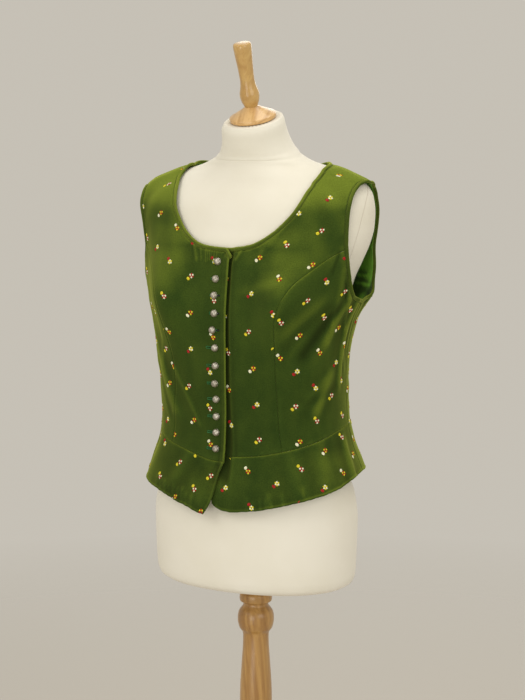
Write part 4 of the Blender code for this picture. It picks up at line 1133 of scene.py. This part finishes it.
# ---------------------------------------------------------------------------------------
# Embroidery. Small machine-worked sprigs, each a round flower with petals in two colours
# and one slanted bud beside it. They stand in columns that turn up and down by turns, and
# were worked before the cloth was cut, so seams and edges cut through some of them.
def thread(name, colour, deep):
    """Soft lustrous thread, its plies twisted round each stitch."""
    made, add = new_finish(name)
    uneven = add("TexNoise.Fac", {"Vector": add("TexCoord.Object"), "Scale": 600})
    tone = add("ValToRGB.Color", {"Fac": uneven}, ((0.3, deep), (0.6, colour)))
    twist = add("TexWave.Fac", {"Vector": add("TexCoord.UV"), "Scale": 700},
                bands_direction="DIAGONAL")
    plies = add("Bump.Normal", {"Height": twist, "Strength": 0.4, "Distance": 0.0001})
    add("Shader.BSDF", {"Base Color": tone, "Normal": plies, "Roughness": 0.55,
                        "Specular IOR Level": 0.35, "Sheen Weight": 0.15, "Sheen Tint": colour})
    return made


def paces(places):
    """Metres over the cloth of one degree round the body and of one metre of height."""
    angle, z = places[..., 0], places[..., 1]
    aside = folded_body(angle + 0.5, z) - folded_body(angle - 0.5, z)
    up = (folded_body(angle, z + 0.002) - folded_body(angle, z - 0.002)) / 0.004
    return np.stack([np.linalg.norm(aside, axis=-1), np.linalg.norm(up, axis=-1)], -1)


def inside(places, outline):
    """Which places lie within a closed outline on the chart."""
    x, z = places[..., 0][..., None], places[..., 1][..., None]
    after = np.roll(outline, -1, axis=0)
    crosses = (outline[:, 1] > z) != (after[:, 1] > z)
    rise = np.where(after[:, 1] == outline[:, 1], 1e-9, after[:, 1] - outline[:, 1])
    meets = outline[:, 0] + (z - outline[:, 1]) * (after[:, 0] - outline[:, 0]) / rise
    return (crosses & (x < meets)).sum(-1) % 2 == 1


def rim(grid):
    """A grid's border as one closed outline."""
    return np.concatenate([grid[0], grid[1:, -1], grid[-1, ::-1][1:], grid[::-1, 0][1:-1]])


def sew(name, runs, relief, finishes, kinds, width, height):
    """Stitches as slim closed spindles on the cloth, from pairs of places on the chart."""
    shares = np.array([0.0, 0.26, 0.74, 1.0])
    places = runs[:, 0, None] + (runs[:, 1] - runs[:, 0])[:, None] * shares[:, None]
    rise = np.array([-0.0003, 1.0 * height, 1.0 * height, -0.0003])
    spots = lay(places, relief(places) + rise)
    outs = facing(folded_body, places[..., 0], places[..., 1])
    along = spots[:, -1] - spots[:, 0]
    length = np.linalg.norm(along, axis=-1)
    side = unit(np.cross(along[:, None], outs))
    half = np.broadcast_to(width, len(runs))[:, None, None] / 2
    rings = [np.stack([middle + flank * half[:, 0], middle + out * height,
                       middle - flank * half[:, 0], middle - out * 0.0006], 1)
             for middle, flank, out in ((spots[:, k], side[:, k], outs[:, k]) for k in (1, 2))]
    points = np.concatenate([spots[:, :1], *rings, spots[:, 3:]], 1)
    shape = [(0, 1 + k, 1 + (k + 1) % 4) for k in range(4)]
    shape += [(1 + k, 5 + k, 5 + (k + 1) % 4, 1 + (k + 1) % 4) for k in range(4)]
    shape += [(5 + k, 9, 5 + (k + 1) % 4) for k in range(4)]
    faces = [tuple(first + corner for corner in face)
             for first in range(0, 10 * len(runs), 10) for face in shape]
    along_uv = np.array([0, 0.26, 0.26, 0.26, 0.26, 0.74, 0.74, 0.74, 0.74, 1]) * length[:, None]
    around_uv = np.tile(np.array([0, 0, 1, 2, 3, 0, 1, 2, 3, 0]) * 0.00025, (len(runs), 1))
    piece = new_piece(name, points.reshape(-1, 3), faces, finishes,
                      np.stack([along_uv, around_uv], -1).reshape(-1, 2))
    piece.data.polygons.foreach_set("material_index", np.repeat(kinds, len(shape)))
    return piece


red_thread = thread("red_thread", (0.45, 0.01, 0.008), (0.24, 0.004, 0.005))
yellow_thread = thread("yellow_thread", (0.8, 0.7, 0.03), (0.58, 0.46, 0.014))
ivory_thread = thread("ivory_thread", (0.9, 0.88, 0.66), (0.66, 0.64, 0.44))
THREADS = [red_thread, yellow_thread, ivory_thread]
RED, YELLOW, IVORY = 0, 1, 2
# bud, first petals, second petals, heart of the flower
COLOURWAYS = {"R": (RED, IVORY, YELLOW, YELLOW), "Y": (YELLOW, RED, IVORY, RED),
              "W": (IVORY, RED, YELLOW, RED)}
THREAD_WIDE, THREAD_HIGH = 0.0009, 0.00028
PETALS, PETAL_START, PETAL_REACH = 6, 0.0006, 0.0048
BUD_LONG, BUD_WIDE, BUD_STITCHES = 0.0078, 0.0043, 7
# centre of the flower and of the bud, and the slant of the bud, for both ways of a sprig
WAYS = {"up": ((0.0025, 0.0022), (-0.0031, -0.0025), -45.0),
        "down": ((0.0018, -0.0024), (-0.0024, 0.003), 45.0)}


def ray(degrees):
    return np.array([math.cos(math.radians(degrees)), math.sin(math.radians(degrees))])


def sprig(way, colours):
    """Stitches of one sprig, as pairs of (aside, up) in metres, and the thread of each."""
    flower, bud, slant = WAYS[way]
    bud_thread, first, second, heart = COLOURWAYS[colours]
    stitches, threads = [], []
    for petal in range(PETALS):
        middle = 360 / PETALS * (petal + 0.5)
        for turn, reach in ((-21, 0.84), (-7, 1.0), (7, 1.0), (21, 0.84)):
            out = ray(middle + turn)
            stitches.append((flower + out * PETAL_START, flower + out * PETAL_REACH * reach))
            threads.append(first if petal % 2 else second)
    for turn in (20, 80, 140):
        out = 0.0009 * ray(turn)
        stitches.append((flower - out, flower + out))
        threads.append(heart)
    lean = ray(slant)
    across = np.array([-lean[1], lean[0]])
    for row in np.linspace(-0.84, 0.84, BUD_STITCHES):
        half = lean * BUD_LONG / 2 * math.sqrt(1 - row * row) ** 0.7
        middle = bud + across * row * BUD_WIDE / 2
        stitches.append((middle - half, middle + half))
        threads.append(bud_thread)
    return np.array(stitches), np.array(threads)


def embroider(name, cloth, columns):
    """All sprigs of one piece of velvet, without the stitches that its edges cut off."""
    runs, kinds = [], []
    for way, colours, places in columns:
        for colour, place in zip(colours, places):
            stitches, threads = sprig(way, colour)
            place = np.array(place, float)
            runs.append(place + stitches / paces(place))
            kinds.append(threads)
    runs, kinds = np.concatenate(runs), np.concatenate(kinds)
    relief, grids = panels[cloth]
    kept = np.zeros(len(runs), bool)
    for grid in grids:
        kept |= np.all([inside(spots, rim(grid))
                        for spots in (runs.mean(1), runs[:, 0], runs[:, 1])], 0)
    return sew(name, runs[kept], relief, THREADS, kinds[kept], THREAD_WIDE, THREAD_HIGH)


def column(angle, top, count, step=0.0555):
    """Places of a column, from its top sprig down."""
    return [(angle, top - step * row) for row in range(count)]


SPRIGS = {
    "front_right": [
        ("down", "RYWRYW", ((-4.9, 1.2508), (-3.9, 1.1895), (-4.8, 1.132), (-7.6, 1.0758),
                            (-8.2, 1.018), (-7.1, 0.9608))),
        ("up", "RYWRYW", ((-16.1, 1.2772), (-16.7, 1.2226), (-17.7, 1.1649), (-20.1, 1.1068),
                          (-23.0, 1.0465), (-19.5, 0.9926))),
        ("down", "WRYW", ((-27.2, 1.2987), (-28.6, 1.2467), (-30.2, 1.1937), (-32.6, 1.136))),
        ("up", "YWR", ((-48.0, 1.363), (-40.2, 1.3175), (-40.3, 1.264))),
        ("down", "RYW", ((-61.5, 1.329), (-57.0, 1.279), (-50.0, 1.237))),
        ("down", "W", ((-65.0, 1.3895),)), ("up", "W", ((-34.6, 0.9637),))],
    "front_left": [
        ("down", "WRYWR", ((1.4, 1.2245), (1.7, 1.166), (4.1, 1.1083), (4.2, 1.0496),
                           (5.4, 0.994))),
        ("up", "WRYWRY", ((17.4, 1.2547), (16.0, 1.1994), (16.7, 1.1403), (19.2, 1.082),
                          (21.1, 1.0251), (22.1, 0.97))),
        ("down", "RYWRY", ((31.4, 1.327), (29.4, 1.2784), (30.0, 1.2276), (32.1, 1.1736),
                           (32.8, 1.114))),
        ("up", "RYW", ((47.3, 1.3468), (44.0, 1.2969), (43.3, 1.2456))),
        ("up", "W", ((68.4, 1.382),))],
    "side_front_right": [
        ("down", "YW", ((-35.6, 1.1331), (-34.7, 1.0789))),
        ("up", "RYWR", ((-42.5, 1.162), (-40.5, 1.103), (-39.3, 1.0469), (-43.8, 0.9858))),
        ("down", "YWRYW", column(-55.5, 1.225, 5)),
        ("up", "RYWRY", column(-69.0, 1.196, 5)),
        ("down", "YWRY", column(-82.5, 1.164, 4)),
        ("up", "WRYW", column(-95.0, 1.15, 4))],
    "side_front_left": [
        ("down", "YW", ((36.6, 1.161), (35.4, 1.104))),
        ("up", "YWRYW", ((45.7, 1.1909), (45.9, 1.1359), (44.8, 1.0787), (43.8, 1.0232),
                         (45.4, 0.9678))),
        ("down", "RYWRY", ((52.5, 1.222), (58.6, 1.1655), (60.2, 1.1105), (58.0, 1.0553),
                           (58.6, 1.0025))),
        ("up", "YWRYR", ((66.6, 1.202), (73.7, 1.1445), (77.5, 1.0885), (73.3, 1.0365),
                         (62.2, 1.2583))),
        ("down", "YWRY", ((80.7, 1.1748), (86.0, 1.118), (88.0, 1.061), (88.0, 1.004)))],
    "back_left": [
        ("up", "RYWR", column(104.0, 1.152, 4)), ("down", "WRYW", column(116.5, 1.178, 4)),
        ("down", "YR", ((119.0, 1.342), (114.0, 1.288))),
        ("up", "YWRYWRY", column(130.0, 1.36, 7)), ("down", "RYWRYWR", column(144.0, 1.336, 7)),
        ("up", "WRYWRYW", column(157.5, 1.37, 7)),
        ("down", "YWRYWRY", column(171.0, 1.342, 7))],
    "back_right": [
        ("down", "YWRY", column(-104.0, 1.142, 4)), ("up", "RYWR", column(-116.5, 1.166, 4)),
        ("up", "WY", ((-118.0, 1.35), (-113.0, 1.298))),
        ("down", "WRYWRYW", column(-130.0, 1.34, 7)),
        ("up", "YWRYWRY", column(-144.0, 1.364, 7)),
        ("down", "RYWRYWR", column(-157.5, 1.345, 7)),
        ("up", "WRYWRYW", column(-171.0, 1.372, 7))],
    "skirt_front_right": [
        ("up", "YYYWW", ((-14.5, 0.9405), (-25.3, 0.9231), (-4.6, 0.9084), (-23.2, 0.869),
                         (-6.9, 0.8525))),
        ("down", "YYR", ((-37.3, 0.8984), (-12.2, 0.8887), (-42.7, 0.95))),
        ("up", "YWYW", ((-61.0, 0.956), (-61.5, 0.902), (-87.0, 0.964), (-87.5, 0.913))),
        ("down", "RY", ((-74.0, 0.935), (-97.0, 0.945)))],
    "skirt_front_left": [
        ("down", "WRYW", ((15.6, 0.9243), (17.4, 0.8693), (43.7, 0.9298), (72.2, 0.9181))),
        ("up", "RRWW", ((29.9, 0.9039), (55.1, 0.8968), (61.7, 0.9515), (92.5, 0.9377))),
        ("up", "RY", ((3.8, 0.8924), (7.2, 0.9434))),
        ("down", "YR", ((81.5, 0.9712), (41.5, 0.8752)))],
    "skirt_back_left": [
        ("down", "WRY", ((106.0, 0.96), (133.0, 0.956), (160.0, 0.958))),
        ("up", "YWWR", ((119.0, 0.984), (119.5, 0.93), (146.5, 0.929), (173.5, 0.931)))],
    "skirt_back_right": [
        ("up", "RYW", ((-108.0, 0.93), (-133.5, 0.93), (-160.0, 0.93))),
        ("down", "WRY", ((-120.0, 0.956), (-147.0, 0.959), (-173.0, 0.957)))]}
for name, columns in SPRIGS.items():
    embroider(f"{name}_sprigs", f"{name}_velvet", columns)


# ---------------------------------------------------------------------------------------
# Stitching. Rows of machine stitches in green thread hold the bindings down, close beside
# the neck and the armholes.
STITCH, STITCH_GAP, STITCH_INSET, FINE_THREAD = 0.0022, 0.0005, 0.0017, 0.0006
green_thread = thread("green_thread", (0.105, 0.15, 0.024), (0.055, 0.085, 0.014))


def stitch_row(line, inset):
    """Pairs of places of the stitches in a row beside a line, on the side of the inset."""
    scale = paces(line)
    run = unit(np.gradient(line, axis=0) * scale)
    row = line + inset * np.stack([-run[:, 1], run[:, 0]], -1) / scale
    steps_on = np.linalg.norm(np.diff(row, axis=0) * scale[1:], axis=-1)
    gone = np.append(0, np.cumsum(steps_on))
    starts = np.arange(0.001, gone[-1] - STITCH, STITCH + STITCH_GAP)
    ends = [np.stack([np.interp(starts + more, gone, row[:, k]) for k in (0, 1)], -1)
            for more in (0, STITCH)]
    return np.stack(ends, 1)


def sew_row(name, line, inset, cloth):
    runs = stitch_row(line, inset)
    return sew(name, runs, panels[cloth][0], [green_thread], np.zeros(len(runs), int),
               FINE_THREAD, 0.0003)


for side, fold in SIDES:
    inset = STITCH_INSET if side == "left" else -STITCH_INSET
    for row, line, on, way in (("neck", left_neck if side == "left" else right_neck, "front", -1),
                               ("back_neck", fold(back_neck), "back", 1),
                               ("arm", fold(arm_front), "front", 1),
                               ("underarm", fold(arm_under), "side_front", -1),
                               ("back_arm", fold(back_arm), "back", -1)):
        sew_row(f"{row}_stitching_{side}", line, way * inset, f"{on}_{side}_velvet")

# short ends of sewing thread left beside the closure
ends = []
for here in (np.array([7.5, 1.128]), np.array([9.5, 1.112])):
    for start, end in (((-0.0012, 0.0), (0.0006, 0.0014)), ((0.0006, 0.0014), (0.0014, -0.0008))):
        ends.append(here + np.array([start, end]) / paces(here))
sew("thread_ends", np.array(ends), front_relief_left, [green_thread], np.zeros(4, int),
    FINE_THREAD, 0.0009)


# ---------------------------------------------------------------------------------------
# Buttonholes. Slits worked round by hand in blue-green thread, across the right front. The
# buttons have pulled to their outer ends, so the inner ends show.
BUTTON_X, BUTTON_GAP = -0.0105, 0.0003
BUTTON_HEIGHTS = (1.2485, 1.2215, 1.196, 1.168, 1.1415, 1.1135, 1.085, 1.0565, 1.0315,
                  1.004, 0.9785, 0.953)
BUTTON_SHIFTS = (0.0016, 0.0, -0.001, 0.0006, -0.0029, 0.001, 0.001, -0.0006, 0.0013, 0.0013,
                 0.0013, 0.0019)
hole_thread = thread("buttonhole_thread", (0.03, 0.16, 0.045), (0.016, 0.095, 0.026))
# painted shadow in the openings of the slits
dark_slit = thread("slit_shadow", (0.004, 0.006, 0.003), (0.002, 0.003, 0.002))
STITCH_WIDE, SLIT_WIDE, EMPTY_SLIT_WIDE = 0.0007, 0.0009, 0.0032
stitches = []  # each with its thread and its width
for count, z in enumerate(BUTTON_HEIGHTS):
    inner, outer = -0.0185 if count < 5 else -0.025, -0.005
    middle, half = np.array([degrees_aside((inner + outer) / 2, z), z]), (outer - inner) / 2
    rows = [((x, way * 0.0003), (x, way * 0.0025), 0, STITCH_WIDE)
            for x in np.arange(-half, half + 0.0001, 0.0006) for way in (-1, 1)]
    rows += [((-half - 0.0011, rise), (-half + 0.0006, rise), 0, STITCH_WIDE)
             for rise in (-0.0015, -0.0009, -0.0003, 0.0003, 0.0009, 0.0015)]
    # the slit's opening, a dark spindle of painted shadow
    rows.append(((-half, 0), (half + 0.0016, 0), 1, SLIT_WIDE))
    if count in (2, 3, 4):  # these buttons have slid back from the ends of their holes, and each open end gets a wider spindle of painted shadow
        rows.append(((half - 0.003, 0), (half + 0.0052, 0), 1, EMPTY_SLIT_WIDE))
    stitches += [(middle + np.array([start, end]) / paces(middle), kind, width)
                 for start, end, kind, width in rows]
runs, kinds, widths = (np.array(part) for part in zip(*stitches))
sew("buttonholes", runs, front_relief_right, [hole_thread, dark_slit], kinds, widths, 0.00032)


# ---------------------------------------------------------------------------------------
# Buttons. Twelve small domed buttons of tarnished white metal with a thin rolled rim, each
# seated just off the cloth. Their shanks, which go through the buttonholes, are not built.
BUTTON_ROWS = [
    (0.0048, 0.0), (0.0058, 0.0002), (0.0061, 0.0006), (0.0061, 0.001), (0.0059, 0.0013),
    (0.0058, 0.0014), (0.0057, 0.0019), (0.0054, 0.0027), (0.0049, 0.0034), (0.0042, 0.0041),
    (0.0032, 0.0046), (0.0021, 0.005), (0.0011, 0.0051), (0.0004, 0.0052)]
white_metal, add = new_finish("white_metal")
tarnish = add("TexNoise.Fac", {"Vector": add("TexCoord.Object"), "Scale": 60, "Detail": 2})
tone = add("ValToRGB.Color", {"Fac": tarnish},
           ((0.35, (0.33, 0.295, 0.235)), (0.65, (0.5, 0.465, 0.395))))
polish = add("MapRange.Result", {"Value": tarnish, "To Min": 0.44, "To Max": 0.35})
dents = add("Bump.Normal", {"Height": tarnish, "Strength": 0.05, "Distance": 0.0003})
add("Shader.BSDF", {"Base Color": tone, "Normal": dents, "Roughness": polish, "Metallic": 1.0})

pattern = lathe("button_pattern", BUTTON_ROWS, 32)
for count, (z, shift) in enumerate(zip(BUTTON_HEIGHTS, BUTTON_SHIFTS), 1):
    seat = np.array([degrees_aside(BUTTON_X + shift, z), z])
    spot = lay(seat, front_relief_right(seat[None])[0] + BUTTON_GAP)
    out = Vector(facing(folded_body, seat[0], seat[1]))
    take_up(pattern)
    bpy.ops.object.duplicate(linked=False)
    button = bpy.context.object
    button.name = button.data.name = f"metal_button_{count:02d}"
    button.rotation_euler = out.to_track_quat("Z", "Y").to_euler()
    button.location = spot
    bpy.ops.object.transform_apply(location=True, rotation=True)
    button.data.materials.append(white_metal)
    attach(button, "root")
    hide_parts(f"button_{count:02d}")
bpy.data.objects.remove(pattern)
